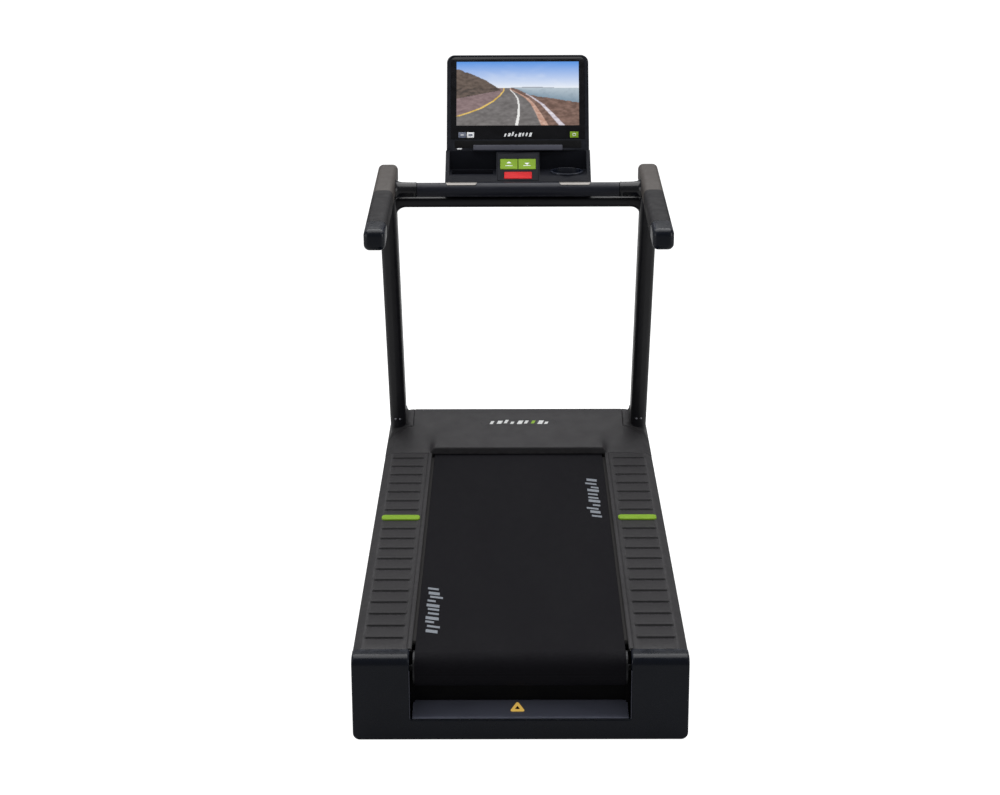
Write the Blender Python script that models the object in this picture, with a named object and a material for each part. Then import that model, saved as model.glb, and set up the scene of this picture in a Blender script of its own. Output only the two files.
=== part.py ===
"""Gym treadmill with a flat running belt, side handlebars and a tilted display console.

Metres, +Z up. The user faces +Y, +X is the user's right. The origin is the bottom centre of the
object's box. Every sub-part is one named closed object; moving pieces sit on their joint's axis.
"""

import math

import bmesh
import bpy

# ---- Driving dimensions -------------------------------------------------------------------------

GAP = 0.0003                      # clearance left between touching pieces

LENGTH = 2.10
WIDTH = 0.933
REAR_Y = -LENGTH / 2
FRONT_Y = LENGTH / 2

# Running surface
ROLLER_Z = 0.195
ROLLER_RADIUS = 0.047
ROLLER_HALF = 0.2975
REAR_ROLLER_Y = -0.992
FRONT_ROLLER_Y = 0.745
BELT_HALF = 0.2925
BELT_THICKNESS = 0.0025
DECK_THICKNESS = 0.020
DECK_SPAN = (-0.920, 0.665)       # along Y
OPENING_HALF = 0.302              # inner edge of the side rails

# Covers
COVER_WALL = 0.004
COVER_BOTTOM_Z = 0.030
RAIL_TOP_Z = 0.250
RAIL_HALF = WIDTH / 2
RAIL_CHAMFER = (0.026, 0.012)     # width and drop of the rail's sloped outer edge
HOOD_HALF = WIDTH / 2
HOOD_REAR_Y = 0.683
HOOD_LIP_Z = 0.270
HOOD_SLOPE_END = (0.880, 0.3155)   # Y, Z where the straight slope meets the crest
HOOD_TOP_Z = 0.323
CORNER_INNER_X = 0.373
CORNER_REAR_Y = 0.836
CAP_FRONT_Y = -0.990
CAP_BOTTOM_Z = 0.006
CAP_OPENING_HALF = 0.307
CAP_SILL_Z = 0.063
CAP_EDGE = 0.004
CAP_ROLL = 0.028                  # radius of the cap's upper rear edge

# Raised foot pads on the side rails
RIB_COUNT = 19
RIB_PITCH = 0.0856
RIB_FIRST_Y = -0.905
RIB_DEPTH = 0.028
RIB_HEIGHT = 0.005
RIB_INNER_X = 0.325
RIB_OUTER_X = 0.4385
RIB_SLOPE = 0.006                  # how far a pad's sides lean in over its height
MARKER_INDEX = 11                 # this pad is the separate coloured marker
MARKER_HALF_DEPTH = 0.020

# Hood crown across the machine: distance from the middle, share of the full crown, drop
HOOD_SHAPE = ((HOOD_HALF, 0.01, 0.012), (0.440, 0.25, 0.0), (0.415, 0.62, 0.0), (0.385, 0.92, 0.0),
              (0.350, 1.0, 0.0), (OPENING_HALF + 0.004, 1.0, 0.0))

# Steel frame
FRAME_INNER_X = 0.320
FRAME_WIDTH = 0.040
FRAME_BOTTOM_Z = 0.105
FRAME_TOP_Z = 0.215
TUBE_WALL = 0.003
SHAFT_RADIUS = 0.010

# Deck supports, feet and transport wheels
DECK_SUPPORTS = (("rear", -0.60), ("front", 0.42))
SUPPORT_LOW_Z = 0.155
SUPPORT_HIGH_Z = 0.190
FRONT_BEAM_Y = 0.965
FOOT_X = 0.382
FOOT_Y = -0.930
FOOT_RADIUS = 0.026
FOOT_STEM_RADIUS = 0.006
WHEEL_X = 0.425
WHEEL_RADIUS = 0.032
FOOT_THREAD_RADIUS = 0.0063

# Motor and drive
MOTOR_Y = 0.925
MOTOR_Z = 0.176
MOTOR_RADIUS = 0.060
MOTOR_SHAFT_RADIUS = 0.008
MOTOR_PULLEY_RADIUS = 0.032
DRIVE_PULLEY_RADIUS = 0.060
PULLEY_X = -0.3755
PULLEY_HALF = 0.010
FLANGE_HEIGHT = 0.002
MOTOR_SHAFT_END = -0.266          # X where the shaft ends, inside the motor

# Ramp below the belt's tail, and the mains socket
RAMP_RISE = 0.36                  # slope of the ramp below the belt's tail
RAMP_WALL = 0.004
RAMP_TOP_Z = 0.139                # the ramp's back wall ends just below the belt
INLET_X = 0.180
INLET_Z = 0.090
INLET_HALF = 0.024
INLET_HIGH = 0.015

# Uprights and handlebars
UPRIGHT_INNER_X = 0.399
UPRIGHT_WIDTH = 0.056
UPRIGHT_DEPTH = 0.088
UPRIGHT_FOOT_Y = 0.9735
UPRIGHT_LEAN = 0.46               # metres rearwards for each metre up
ARM_INNER_X = 0.399
ARM_WIDTH = 0.065
ARM_HEIGHT = 0.065
ARM_TILT = math.radians(2.45)
ARM_END_Y = -0.210
ARM_END_Z = 1.2235                # centre of the arm's section at its rear end
ARM_CAP_LENGTH = 0.110
ARM_GRIP_LENGTH = 0.370
ARM_LENGTH = 0.830
GRIP_Y = 0.450
GRIP_Z = 1.2385
GRIP_RADIUS = 0.023
GRIP_SEAM_X = 0.330

# Console and display
CONSOLE_HALF = 0.239
CONSOLE_FOOT = (0.4735, 1.2585)   # Y, Z of the sloped panel's lower edge
CONSOLE_HEAD = (0.6100, 1.3380)   # Y, Z of its upper edge, where the display starts
CONSOLE_BOTTOM_Z = 1.209
DISPLAY_TILT = math.radians(30)   # backwards from upright
DISPLAY_HEIGHT = 0.335
DISPLAY_HALF = 0.2365
DISPLAY_DEPTH = 0.045
RACK_HALF = 0.148
SCREEN_HALF = 0.2042
SCREEN_LOW = 0.0858
SCREEN_HIGH = 0.3103
CUP_CENTRE = (0.161, 0.553)
CUP_RIM_Z = 1.280
CUP_RADIUS = 0.0545               # outside of its flange
CUP_NECK = 0.050
CUP_FLANGE = 0.006
LEDGE_X = (0.071, 0.226)          # level ledges on both sides of the keypad
LEDGE_BACK_Y = 0.608
LEDGE_Z = CUP_RIM_Z - CUP_FLANGE - GAP
TRAY_X = (-0.218, -0.082)
TRAY_Y = (0.528, 0.600)
TRAY_Z = 1.255

# Keypad
CONSOLE_SLOPE = math.atan2(CONSOLE_HEAD[1] - CONSOLE_FOOT[1], CONSOLE_HEAD[0] - CONSOLE_FOOT[0])
PANEL_HALF = 0.067
PANEL_SPAN = (0.006, 0.138)       # lower and upper edge, up the slope
PANEL_THICKNESS = 0.0085
KEY_DEPTH = 0.0035                # how far a key's body reaches below the panel
KEY_PROUD = 0.0025
KEY_POCKET = 0.0063
KEY_CLEARANCE = 0.0006
# name: (centre x, centre up the slope, half width, half length, material)
KEYS = {
    "key_faster": (-0.0298, 0.0860, 0.0288, 0.0255, "green_key"),
    "key_slower": (0.0298, 0.0860, 0.0288, 0.0255, "green_key"),
    "key_stop": (0.0, 0.0310, 0.0455, 0.0170, "red_key"),
}

ROUND_STEPS = 28

# ---- Materials ----------------------------------------------------------------------------------

COLOURS = {
    "cover": ((0.055, 0.055, 0.058), 0.55, 0.0),
    "navy": ((0.010, 0.013, 0.020), 0.35, 0.0),
    "belt": ((0.020, 0.019, 0.021), 0.75, 0.0),
    "marker": ((0.36, 0.62, 0.03), 0.5, 0.0),
    "steel": ((0.05, 0.05, 0.055), 0.45, 0.8),
    "bright": ((0.60, 0.60, 0.60), 0.25, 1.0),
    "deck": ((0.10, 0.07, 0.045), 0.6, 0.0),
    "rubber": ((0.02, 0.02, 0.02), 0.8, 0.0),
    "tube": ((0.035, 0.034, 0.036), 0.40, 0.0),
    "warm_grey": ((0.105, 0.095, 0.088), 0.5, 0.0),
    "grip": ((0.045, 0.043, 0.044), 0.7, 0.0),
    "console": ((0.012, 0.013, 0.016), 0.45, 0.0),
    "glass": ((0.004, 0.004, 0.005), 0.08, 0.0),
    "screen": ((0.20, 0.30, 0.45), 0.15, 0.0),
    "green_key": ((0.30, 0.55, 0.04), 0.4, 0.0),
    "red_key": ((0.80, 0.03, 0.04), 0.4, 0.0),
}


def make_material(name, colour, roughness, metallic):
    material = bpy.data.materials.new(name)
    material.use_nodes = True
    shader = material.node_tree.nodes["Principled BSDF"]
    shader.inputs["Base Color"].default_value = (*colour, 1.0)
    shader.inputs["Roughness"].default_value = roughness
    shader.inputs["Metallic"].default_value = metallic
    return material


# ---- Mesh helpers -------------------------------------------------------------------------------

MATERIALS = {}


def add(name, bm, material, smooth=False):
    """Turn a bmesh into a scene object with its faces pointing out."""
    bmesh.ops.recalc_face_normals(bm, faces=bm.faces)
    mesh = bpy.data.meshes.new(name)
    bm.to_mesh(mesh)
    bm.free()
    mesh.materials.append(MATERIALS[material])
    if smooth:
        mesh.shade_smooth()
        mesh.set_sharp_from_angle(angle=math.radians(40))
    obj = bpy.data.objects.new(name, mesh)
    bpy.context.scene.collection.objects.link(obj)
    return obj


def loft(rings, closed=False):
    """Join rings of equal point counts; the ends are capped unless the loft is closed."""
    bm = bmesh.new()
    rows = [[bm.verts.new(point) for point in ring] for ring in rings]
    pairs = list(zip(rows, rows[1:]))
    if closed:
        pairs.append((rows[-1], rows[0]))
    for near, far in pairs:
        for i in range(len(near)):
            j = (i + 1) % len(near)
            bm.faces.new((near[i], near[j], far[j], far[i]))
    if not closed:
        bm.faces.new(rows[0])
        bm.faces.new(rows[-1])
    return bm


def box(low, high):
    (x0, y0, z0), (x1, y1, z1) = low, high
    corners = ((x0, y0), (x1, y0), (x1, y1), (x0, y1))
    return loft([[(x, y, z) for x, y in corners] for z in (z0, z1)])


def prism_x(outline, x0, x1):
    """A (y, z) outline extruded along X."""
    return loft([[(x, y, z) for y, z in outline] for x in (x0, x1)])


def prism_y(outline, y0, y1):
    """An (x, z) outline extruded along Y."""
    return loft([[(x, y, z) for x, z in outline] for y in (y0, y1)])


def tube_x(x0, x1, y0, y1, z0, z1, wall):
    """A rectangular tube along X with open ends."""
    outer = [(y0, z0), (y1, z0), (y1, z1), (y0, z1)]
    inner = [(y0 + wall, z0 + wall), (y1 - wall, z0 + wall), (y1 - wall, z1 - wall), (y0 + wall, z1 - wall)]
    rings = [(x0, outer), (x1, outer), (x1, inner), (x0, inner)]
    return loft([[(x, y, z) for y, z in outline] for x, outline in rings], closed=True)


def tube_y(x0, x1, y0, y1, z0, z1, wall):
    """A rectangular tube along Y with open ends."""
    outer = [(x0, z0), (x1, z0), (x1, z1), (x0, z1)]
    inner = [(x0 + wall, z0 + wall), (x1 - wall, z0 + wall), (x1 - wall, z1 - wall), (x0 + wall, z1 - wall)]
    rings = [(y0, outer), (y1, outer), (y1, inner), (y0, inner)]
    return loft([[(x, y, z) for x, z in outline] for y, outline in rings], closed=True)


def circle(radius, steps=ROUND_STEPS):
    return [(radius * math.cos(2 * math.pi * i / steps), radius * math.sin(2 * math.pi * i / steps))
            for i in range(steps)]


def turned_x(profile, closed=False, steps=ROUND_STEPS):
    """(x, radius) pairs turned round the X axis; a closed profile leaves a bore on the axis."""
    return loft([[(x, y, z) for y, z in circle(r, steps)] for x, r in profile], closed)


def turned_z(profile, closed=False, steps=ROUND_STEPS):
    """(z, radius) pairs turned round the Z axis."""
    return loft([[(x, y, z) for x, y in circle(r, steps)] for z, r in profile], closed)


def arc(cx, cy, radius, start, end, steps):
    """Points on an arc, angles in degrees."""
    angles = [math.radians(start + (end - start) * i / steps) for i in range(steps + 1)]
    return [(cx + radius * math.cos(a), cy + radius * math.sin(a)) for a in angles]


def rounded_rectangle(half_x, half_y, radius, steps=3, cx=0.0, cy=0.0):
    x, y = half_x - radius, half_y - radius
    return (arc(cx + x, cy + y, radius, 0, 90, steps) + arc(cx - x, cy + y, radius, 90, 180, steps)
            + arc(cx - x, cy - y, radius, 180, 270, steps) + arc(cx + x, cy - y, radius, 270, 360, steps))


def cut(target, tool, operation="DIFFERENCE"):
    """Cut the target with a tool object, or join the tool to it, by a live Boolean."""
    tool.hide_render = True
    tool.display_type = "WIRE"
    modifier = target.modifiers.new(tool.name, "BOOLEAN")
    modifier.operation = operation
    modifier.object = tool


def sides():
    return (("left", -1), ("right", 1))


def empty(name, location, tilt):
    """A frame for tilted pieces: its own Y runs up the slope, and its own Z is the surface normal."""
    obj = bpy.data.objects.new(name, None)
    obj.location = location
    obj.rotation_euler = (tilt, 0, 0)
    bpy.context.scene.collection.objects.link(obj)
    return obj


# ---- Steel frame --------------------------------------------------------------------------------

def shaft_hole(rail, sign, label, y, z, radius):
    hole = add(f"hole_{rail.name}_{label}", turned_x([(-0.05, radius), (0.05, radius)], steps=20), "steel")
    hole.location = (sign * (FRAME_INNER_X + FRAME_WIDTH / 2), y, z)
    cut(rail, hole)


def build_frame():
    for side, sign in sides():
        x0, x1 = sorted((sign * FRAME_INNER_X, sign * (FRAME_INNER_X + FRAME_WIDTH)))
        rail = add(f"frame_rail_{side}", tube_y(x0, x1, REAR_Y + 0.015, FRONT_Y - 0.030, FRAME_BOTTOM_Z,
                                                FRAME_TOP_Z, TUBE_WALL), "steel")
        shaft_hole(rail, sign, "rear", REAR_ROLLER_Y, ROLLER_Z, SHAFT_RADIUS + GAP)
        shaft_hole(rail, sign, "front", FRONT_ROLLER_Y, ROLLER_Z, SHAFT_RADIUS + GAP)
        if side == "left":
            shaft_hole(rail, sign, "motor", MOTOR_Y, MOTOR_Z, MOTOR_SHAFT_RADIUS + 0.004)
    inner = FRAME_INNER_X - GAP
    for label, y in DECK_SUPPORTS:
        add(f"deck_crossmember_{label}", tube_x(-inner, inner, y - 0.025, y + 0.025, SUPPORT_LOW_Z,
                                                SUPPORT_HIGH_Z, TUBE_WALL), "steel")
    add("front_foot_beam", tube_x(-0.450, 0.450, FRONT_BEAM_Y - 0.035, FRONT_BEAM_Y + 0.035, 0.078,
                                  FRAME_BOTTOM_Z - GAP, TUBE_WALL), "steel")
    beam = add("rear_foot_beam", box((-0.400, FOOT_Y - 0.025, 0.055),
                                     (0.400, FOOT_Y + 0.025, FRAME_BOTTOM_Z - GAP)), "steel")
    for side, sign in sides():
        thread = add(f"thread_{side}", turned_z([(0.040, FOOT_THREAD_RADIUS), (0.094, FOOT_THREAD_RADIUS)],
                                               steps=16), "steel")
        thread.location = (sign * FOOT_X, FOOT_Y, 0)
        cut(beam, thread)


def build_feet():
    for side, sign in sides():
        profile = [(0.0, FOOT_RADIUS), (0.010, FOOT_RADIUS), (0.014, FOOT_RADIUS - 0.006),
                   (0.018, FOOT_STEM_RADIUS), (0.090, FOOT_STEM_RADIUS)]
        foot = add(f"levelling_foot_{side}", turned_z(profile, steps=20), "rubber", True)
        foot.location = (sign * FOOT_X, FOOT_Y, 0)
        centre = sign * WHEEL_X
        outline = [(-0.0195, 0.016), (-0.0155, 0.016), (-0.0155, 0.0697), (0.0155, 0.0697),
                   (0.0155, 0.016), (0.0195, 0.016), (0.0195, 0.0777), (-0.0195, 0.0777)]
        fork = add(f"wheel_fork_{side}", prism_y([(centre + x, z) for x, z in outline],
                                                 FRONT_BEAM_Y - 0.020, FRONT_BEAM_Y + 0.020), "steel")
        pin = add(f"wheel_pin_{side}", turned_x([(-0.0175, 0.006), (0.0175, 0.006)], steps=16), "steel")
        pin.location = (centre, FRONT_BEAM_Y, WHEEL_RADIUS)
        cut(fork, pin, "UNION")
        profile = [(-0.014, 0.0063), (-0.014, 0.028), (-0.011, WHEEL_RADIUS), (0.011, WHEEL_RADIUS),
                   (0.014, 0.028), (0.014, 0.0063)]
        wheel = add(f"transport_wheel_{side}", turned_x(profile, closed=True, steps=24), "rubber", True)
        wheel.location = (centre, FRONT_BEAM_Y, WHEEL_RADIUS)


# ---- Deck, belt, rollers and drive --------------------------------------------------------------

def loop_outline(centre_a, radius_a, centre_b, radius_b, steps):
    """The outline of a belt round two pulleys in the (y, z) plane; pulley b is at larger y."""
    dy, dz = centre_b[0] - centre_a[0], centre_b[1] - centre_a[1]
    heading = math.degrees(math.atan2(dz, dy))
    lean = math.degrees(math.acos((radius_a - radius_b) / math.hypot(dy, dz)))
    return (arc(*centre_a, radius_a, heading + lean, heading + 360 - lean, steps)
            + arc(*centre_b, radius_b, heading - lean, heading + lean, steps))


def belt_loop(centre_a, radius_a, centre_b, radius_b, thickness, x0, x1, steps):
    inner = loop_outline(centre_a, radius_a + GAP, centre_b, radius_b + GAP, steps)
    outer = loop_outline(centre_a, radius_a + GAP + thickness, centre_b, radius_b + GAP + thickness, steps)
    rings = [(x0, outer), (x1, outer), (x1, inner), (x0, inner)]
    return loft([[(x, y, z) for y, z in outline] for x, outline in rings], closed=True)


def build_running_surface():
    rear = (REAR_ROLLER_Y, ROLLER_Z)
    front = (FRONT_ROLLER_Y, ROLLER_Z)
    add("running_belt", belt_loop(rear, ROLLER_RADIUS, front, ROLLER_RADIUS, BELT_THICKNESS,
                                  -BELT_HALF, BELT_HALF, 16), "belt", True)
    deck_top = ROLLER_Z + ROLLER_RADIUS
    deck_bottom = deck_top - DECK_THICKNESS
    bevel = 0.006
    rear_y, front_y = DECK_SPAN
    outline = [(rear_y, deck_bottom), (front_y, deck_bottom), (front_y, deck_top - bevel),
               (front_y - bevel, deck_top), (rear_y + bevel, deck_top), (rear_y, deck_top - bevel)]
    half = FRAME_INNER_X - 0.002
    add("running_deck", prism_x(outline, -half, half), "deck")
    for label, y in DECK_SUPPORTS:
        for side, sign in sides():
            low, high = SUPPORT_HIGH_Z + GAP, deck_bottom - GAP
            waist = (low + high) / 2
            profile = [(low, 0.022), (waist, 0.018), (high, 0.022)]
            cushion = add(f"deck_cushion_{label}_{side}", turned_z(profile, steps=16), "rubber", True)
            cushion.location = (sign * 0.230, y, 0)


def build_rollers():
    wall = 0.004
    end = ROLLER_HALF - 0.012
    hollow = ROLLER_RADIUS - wall
    bore = SHAFT_RADIUS + GAP
    profile = [(-ROLLER_HALF, bore), (-ROLLER_HALF, ROLLER_RADIUS), (ROLLER_HALF, ROLLER_RADIUS),
               (ROLLER_HALF, bore), (end, bore), (end, hollow), (-end, hollow), (-end, bore)]
    rear = add("rear_roller", turned_x(profile, closed=True), "bright", True)
    rear.location = (0, REAR_ROLLER_Y, ROLLER_Z)
    reach = FRAME_INNER_X + FRAME_WIDTH + 0.012
    rod = turned_x([(-reach, SHAFT_RADIUS), (reach, SHAFT_RADIUS)], steps=20)
    shaft = add("rear_shaft", rod, "bright", True)
    shaft.location = (0, REAR_ROLLER_Y, ROLLER_Z)
    drill = 0.003
    left, right = -0.398, 0.364
    profile = [(left, drill), (left, SHAFT_RADIUS), (-ROLLER_HALF, SHAFT_RADIUS),
               (-ROLLER_HALF, ROLLER_RADIUS), (ROLLER_HALF, ROLLER_RADIUS), (ROLLER_HALF, SHAFT_RADIUS),
               (right, SHAFT_RADIUS), (right, drill), (end, drill), (end, hollow), (-end, hollow),
               (-end, drill)]
    front = add("front_roller", turned_x(profile, closed=True), "bright", True)
    front.location = (0, FRONT_ROLLER_Y, ROLLER_Z)


def pulley_profile(radius, bore):
    """A flanged pulley's closed (x, radius) profile, centred on x = 0."""
    rim = PULLEY_HALF + 0.002
    flange = radius + FLANGE_HEIGHT
    return [(-rim, bore), (-rim, flange), (-PULLEY_HALF, flange), (-PULLEY_HALF, radius),
            (PULLEY_HALF, radius), (PULLEY_HALF, flange), (rim, flange), (rim, bore)]


def build_drive():
    profile = pulley_profile(DRIVE_PULLEY_RADIUS, SHAFT_RADIUS + GAP)
    pulley = add("drive_pulley", turned_x(profile, closed=True), "bright", True)
    pulley.location = (PULLEY_X, FRONT_ROLLER_Y, ROLLER_Z)
    shaft = MOTOR_SHAFT_RADIUS
    rim = PULLEY_HALF + 0.002
    radius = MOTOR_PULLEY_RADIUS
    flange = radius + FLANGE_HEIGHT
    profile = [(-rim, flange), (-PULLEY_HALF, flange), (-PULLEY_HALF, radius), (PULLEY_HALF, radius),
               (PULLEY_HALF, flange), (rim, flange), (rim, shaft), (MOTOR_SHAFT_END - PULLEY_X, shaft)]
    rotor = add("motor_pulley", turned_x(profile), "bright", True)
    rotor.location = (PULLEY_X, MOTOR_Y, MOTOR_Z)
    add("drive_belt", belt_loop((FRONT_ROLLER_Y, ROLLER_Z), DRIVE_PULLEY_RADIUS, (MOTOR_Y, MOTOR_Z),
                                MOTOR_PULLEY_RADIUS, 0.003, PULLEY_X - 0.009, PULLEY_X + 0.009, 20),
        "rubber", True)
    motor_left, motor_right = -0.300, -0.085
    bore = MOTOR_SHAFT_RADIUS + 0.0005
    seat = -0.265
    profile = [(seat, bore), (motor_left, bore), (motor_left, 0.030), (motor_left + 0.012, 0.034),
               (motor_left + 0.014, MOTOR_RADIUS - 0.004), (motor_left + 0.018, MOTOR_RADIUS),
               (motor_right - 0.018, MOTOR_RADIUS), (motor_right - 0.014, MOTOR_RADIUS - 0.004),
               (motor_right, 0.034)]
    motor = add("motor", turned_x(profile), "steel", True)
    motor.location = (0, MOTOR_Y, MOTOR_Z)
    base = FRAME_BOTTOM_Z
    seat_arc = arc(MOTOR_Y, MOTOR_Z, MOTOR_RADIUS + 0.001, 200, 340, 12)
    outline = [(MOTOR_Y - 0.075, base), (MOTOR_Y - 0.075, base + 0.008), (MOTOR_Y - 0.062, base + 0.050),
               *seat_arc, (MOTOR_Y + 0.062, base + 0.050), (MOTOR_Y + 0.075, base + 0.008),
               (MOTOR_Y + 0.075, base)]
    add("motor_cradle", prism_x(outline, -0.270, -0.120), "steel")


# ---- Moulded covers -----------------------------------------------------------------------------

def rail_section():
    """The side rail's (x, z) section for the right side: an open channel with a sloped outer edge."""
    wall = 0.003
    width, drop = RAIL_CHAMFER
    edge_z = RAIL_TOP_Z - drop
    shoulder = [(RAIL_HALF, edge_z - 0.005), (RAIL_HALF - 0.003, edge_z + 0.001),
                (RAIL_HALF - width, RAIL_TOP_Z)]
    inside = [(RAIL_HALF - width - 0.001, RAIL_TOP_Z - wall), (RAIL_HALF - 0.0055, edge_z - 0.001),
              (RAIL_HALF - wall, edge_z - 0.006)]
    top = [(RIB_OUTER_X, RAIL_TOP_Z), (RIB_INNER_X, RAIL_TOP_Z), (OPENING_HALF, RAIL_TOP_Z)]
    lip = ROLLER_Z + ROLLER_RADIUS + 0.0008
    under = [(OPENING_HALF, lip), (OPENING_HALF + wall, lip), (OPENING_HALF + wall, RAIL_TOP_Z - wall)]
    return ([(RAIL_HALF, COVER_BOTTOM_Z)] + shoulder + top + under + inside
            + [(RAIL_HALF - wall, COVER_BOTTOM_Z)])


def rib_positions():
    return [RIB_FIRST_Y + RIB_PITCH * i for i in range(RIB_COUNT)]


def build_side_rail(side, sign):
    section = [(sign * x, z) for x, z in rail_section()]
    stations = [CAP_FRONT_Y + GAP]
    for i, y in enumerate(rib_positions()):
        if i != MARKER_INDEX:
            stations += [y - RIB_DEPTH / 2, y + RIB_DEPTH / 2]
    stations.append(HOOD_REAR_Y - GAP)
    bm = loft([[(x, y, z) for x, z in section] for y in stations])
    pads = []
    for face in bm.faces:
        centre = face.calc_center_median()
        length = max(v.co.y for v in face.verts) - min(v.co.y for v in face.verts)
        on_top = abs(centre.z - RAIL_TOP_Z) < 1e-5 and RIB_INNER_X < abs(centre.x) < RIB_OUTER_X
        if on_top and abs(length - RIB_DEPTH) < 1e-4 and len(face.verts) == 4:
            pads.append(face)
    for pad in pads:
        raised = bmesh.ops.extrude_discrete_faces(bm, faces=[pad])["faces"][0]
        middle = raised.calc_center_median()
        for vert in raised.verts:
            vert.co.z += RIB_HEIGHT
            vert.co.x -= math.copysign(RIB_SLOPE, vert.co.x - middle.x)
            vert.co.y -= math.copysign(RIB_SLOPE, vert.co.y - middle.y)
    add(f"side_rail_{side}", bm, "cover")
    marker_y = rib_positions()[MARKER_INDEX]
    x0, x1 = sorted((sign * (RIB_INNER_X - 0.006), sign * (RIB_OUTER_X + 0.0035)))
    y0, y1 = marker_y - MARKER_HALF_DEPTH, marker_y + MARKER_HALF_DEPTH
    low = RAIL_TOP_Z + GAP
    rings = []
    for z, inset in ((low, 0.0), (low + 0.004, 0.0), (low + 0.0055, 0.0015)):
        rings.append([(x0 + inset, y0 + inset, z), (x1 - inset, y0 + inset, z),
                      (x1 - inset, y1 - inset, z), (x0 + inset, y1 - inset, z)])
    add(f"rail_marker_{side}", loft(rings), "marker")


def hood_profile(lip_z, swell, drop, inset):
    """The hood's (y, z) outline at one X; the inset outline lies inside it by the wall's thickness."""
    crest = [HOOD_SLOPE_END, (0.920, HOOD_TOP_Z), (0.950, HOOD_TOP_Z), (0.985, 0.315), (1.015, 0.298),
             (1.036, 0.271), (FRONT_Y, 0.232)]
    normals = [(-0.36, 0.93), (-0.10, 0.99), (0.12, 0.99), (0.38, 0.92), (0.66, 0.75), (0.87, 0.49),
               (0.99, 0.12)]
    outline = [(HOOD_REAR_Y + inset, COVER_BOTTOM_Z - (0.010 if inset else 0.0)),
               (HOOD_REAR_Y + inset, lip_z - drop - inset)]
    for (y, z), (ny, nz) in zip(crest, normals):
        crown = max(z - RAIL_TOP_Z, 0.0)
        missing = 1 - swell if y < 0.9 else (1 - swell) ** 2
        outline.append((y - inset * ny, z - crown * missing - drop - inset * nz))
    return outline + [(FRONT_Y - inset, outline[0][1])]


def hood_solid(inset=0.0):
    """The crowned hood; beside the belt its lip is as low as the rails, and above it higher."""
    lip_edge = OPENING_HALF - 0.004
    half = [(x, RAIL_TOP_Z, swell, drop) for x, swell, drop in HOOD_SHAPE]
    half.append((lip_edge, HOOD_LIP_Z, 1.0, 0.0))
    rings = []
    for sign, stations in ((-1, half), (1, reversed(half))):
        for x, lip_z, swell, drop in stations:
            rings.append([(sign * (x - inset), y, z) for y, z in hood_profile(lip_z, swell, drop, inset)])
    bm = loft(rings)
    bmesh.ops.triangulate(bm, faces=[face for face in bm.faces if len(face.verts) == 4])
    return bm


def upright_section(grow):
    """The upright's horizontal section about its own centre line."""
    return rounded_rectangle(UPRIGHT_WIDTH / 2 + grow, UPRIGHT_DEPTH / 2 + grow, 0.018 + grow, 3)


def upright_rings(sign, heights, grow=0.0, top_slope=0.0):
    """Horizontal sections up the leaning upright; the last one may slope to meet the arm."""
    centre_x = sign * (UPRIGHT_INNER_X + UPRIGHT_WIDTH / 2)
    rings = []
    for z in heights:
        slope = top_slope if z == heights[-1] else 0.0
        centre_y = UPRIGHT_FOOT_Y - (z - FRAME_BOTTOM_Z) * UPRIGHT_LEAN
        ring = []
        for x, y in upright_section(grow):
            rise = slope * y / (1 + slope * UPRIGHT_LEAN)
            ring.append((centre_x + x, centre_y + y - rise * UPRIGHT_LEAN, z + rise))
        rings.append(ring)
    return rings


def build_hood():
    hood = add("motor_hood", hood_solid(), "cover")
    cavity = add("hood_cavity", hood_solid(COVER_WALL), "cover")
    cut(hood, cavity)
    mouth_half = RAIL_HALF - RAIL_CHAMFER[0] - 0.002
    mouth = box((-mouth_half, HOOD_REAR_Y - 0.010, COVER_BOTTOM_Z - 0.012),
                (mouth_half, HOOD_REAR_Y + 0.010, RAIL_TOP_Z - 0.002))
    cut(hood, add("hood_mouth", mouth, "cover"))
    socket = box((INLET_X - INLET_HALF - GAP, FRONT_Y - 0.020, INLET_Z - INLET_HIGH - GAP),
                 (INLET_X + INLET_HALF + GAP, FRONT_Y + 0.010, INLET_Z + INLET_HIGH + GAP))
    cut(hood, add("inlet_window", socket, "cover"))
    for side, sign in sides():
        cut(hood, add(f"hood_notch_{side}", corner_block(sign, 0.0), "cover"))
        corner = add(f"hood_corner_{side}", hood_solid(), "cover")
        cut(corner, add(f"corner_block_{side}", corner_block(sign, GAP), "cover"), "INTERSECT")
        cut(corner, cavity)
        cut(corner, add(f"corner_hole_{side}", loft(upright_rings(sign, (0.150, 0.450), 0.001)), "cover"))


def corner_block(sign, gap):
    """The part of the hood round an upright's foot, which is a cover of its own."""
    x0, x1 = sorted((sign * (CORNER_INNER_X + gap), sign * (HOOD_HALF + 0.010)))
    return box((x0, CORNER_REAR_Y + gap, 0.0), (x1, FRONT_Y + 0.010, 0.400))


def cap_outline(grow, drop):
    """The rear cap's U-shaped (x, z) outline; grow below 0 moves it inwards, drop lowers its top."""
    half = WIDTH / 2 + grow
    bottom, top, sill = CAP_BOTTOM_Z - grow, RAIL_TOP_Z + grow - drop, CAP_SILL_Z + grow
    opening = CAP_OPENING_HALF - grow
    foot, shoulder, nook = 0.020 + grow, 0.008 + grow, 0.008 - grow
    right = (arc(half - foot, bottom + foot, foot, 270, 360, 4)
             + arc(half - shoulder, top - shoulder, shoulder, 0, 90, 2)
             + arc(opening + shoulder, top - shoulder, shoulder, 90, 180, 2)
             + arc(opening - nook, sill + nook, nook, 0, -90, 2))
    return right + [(-x, z) for x, z in reversed(right)]


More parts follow.
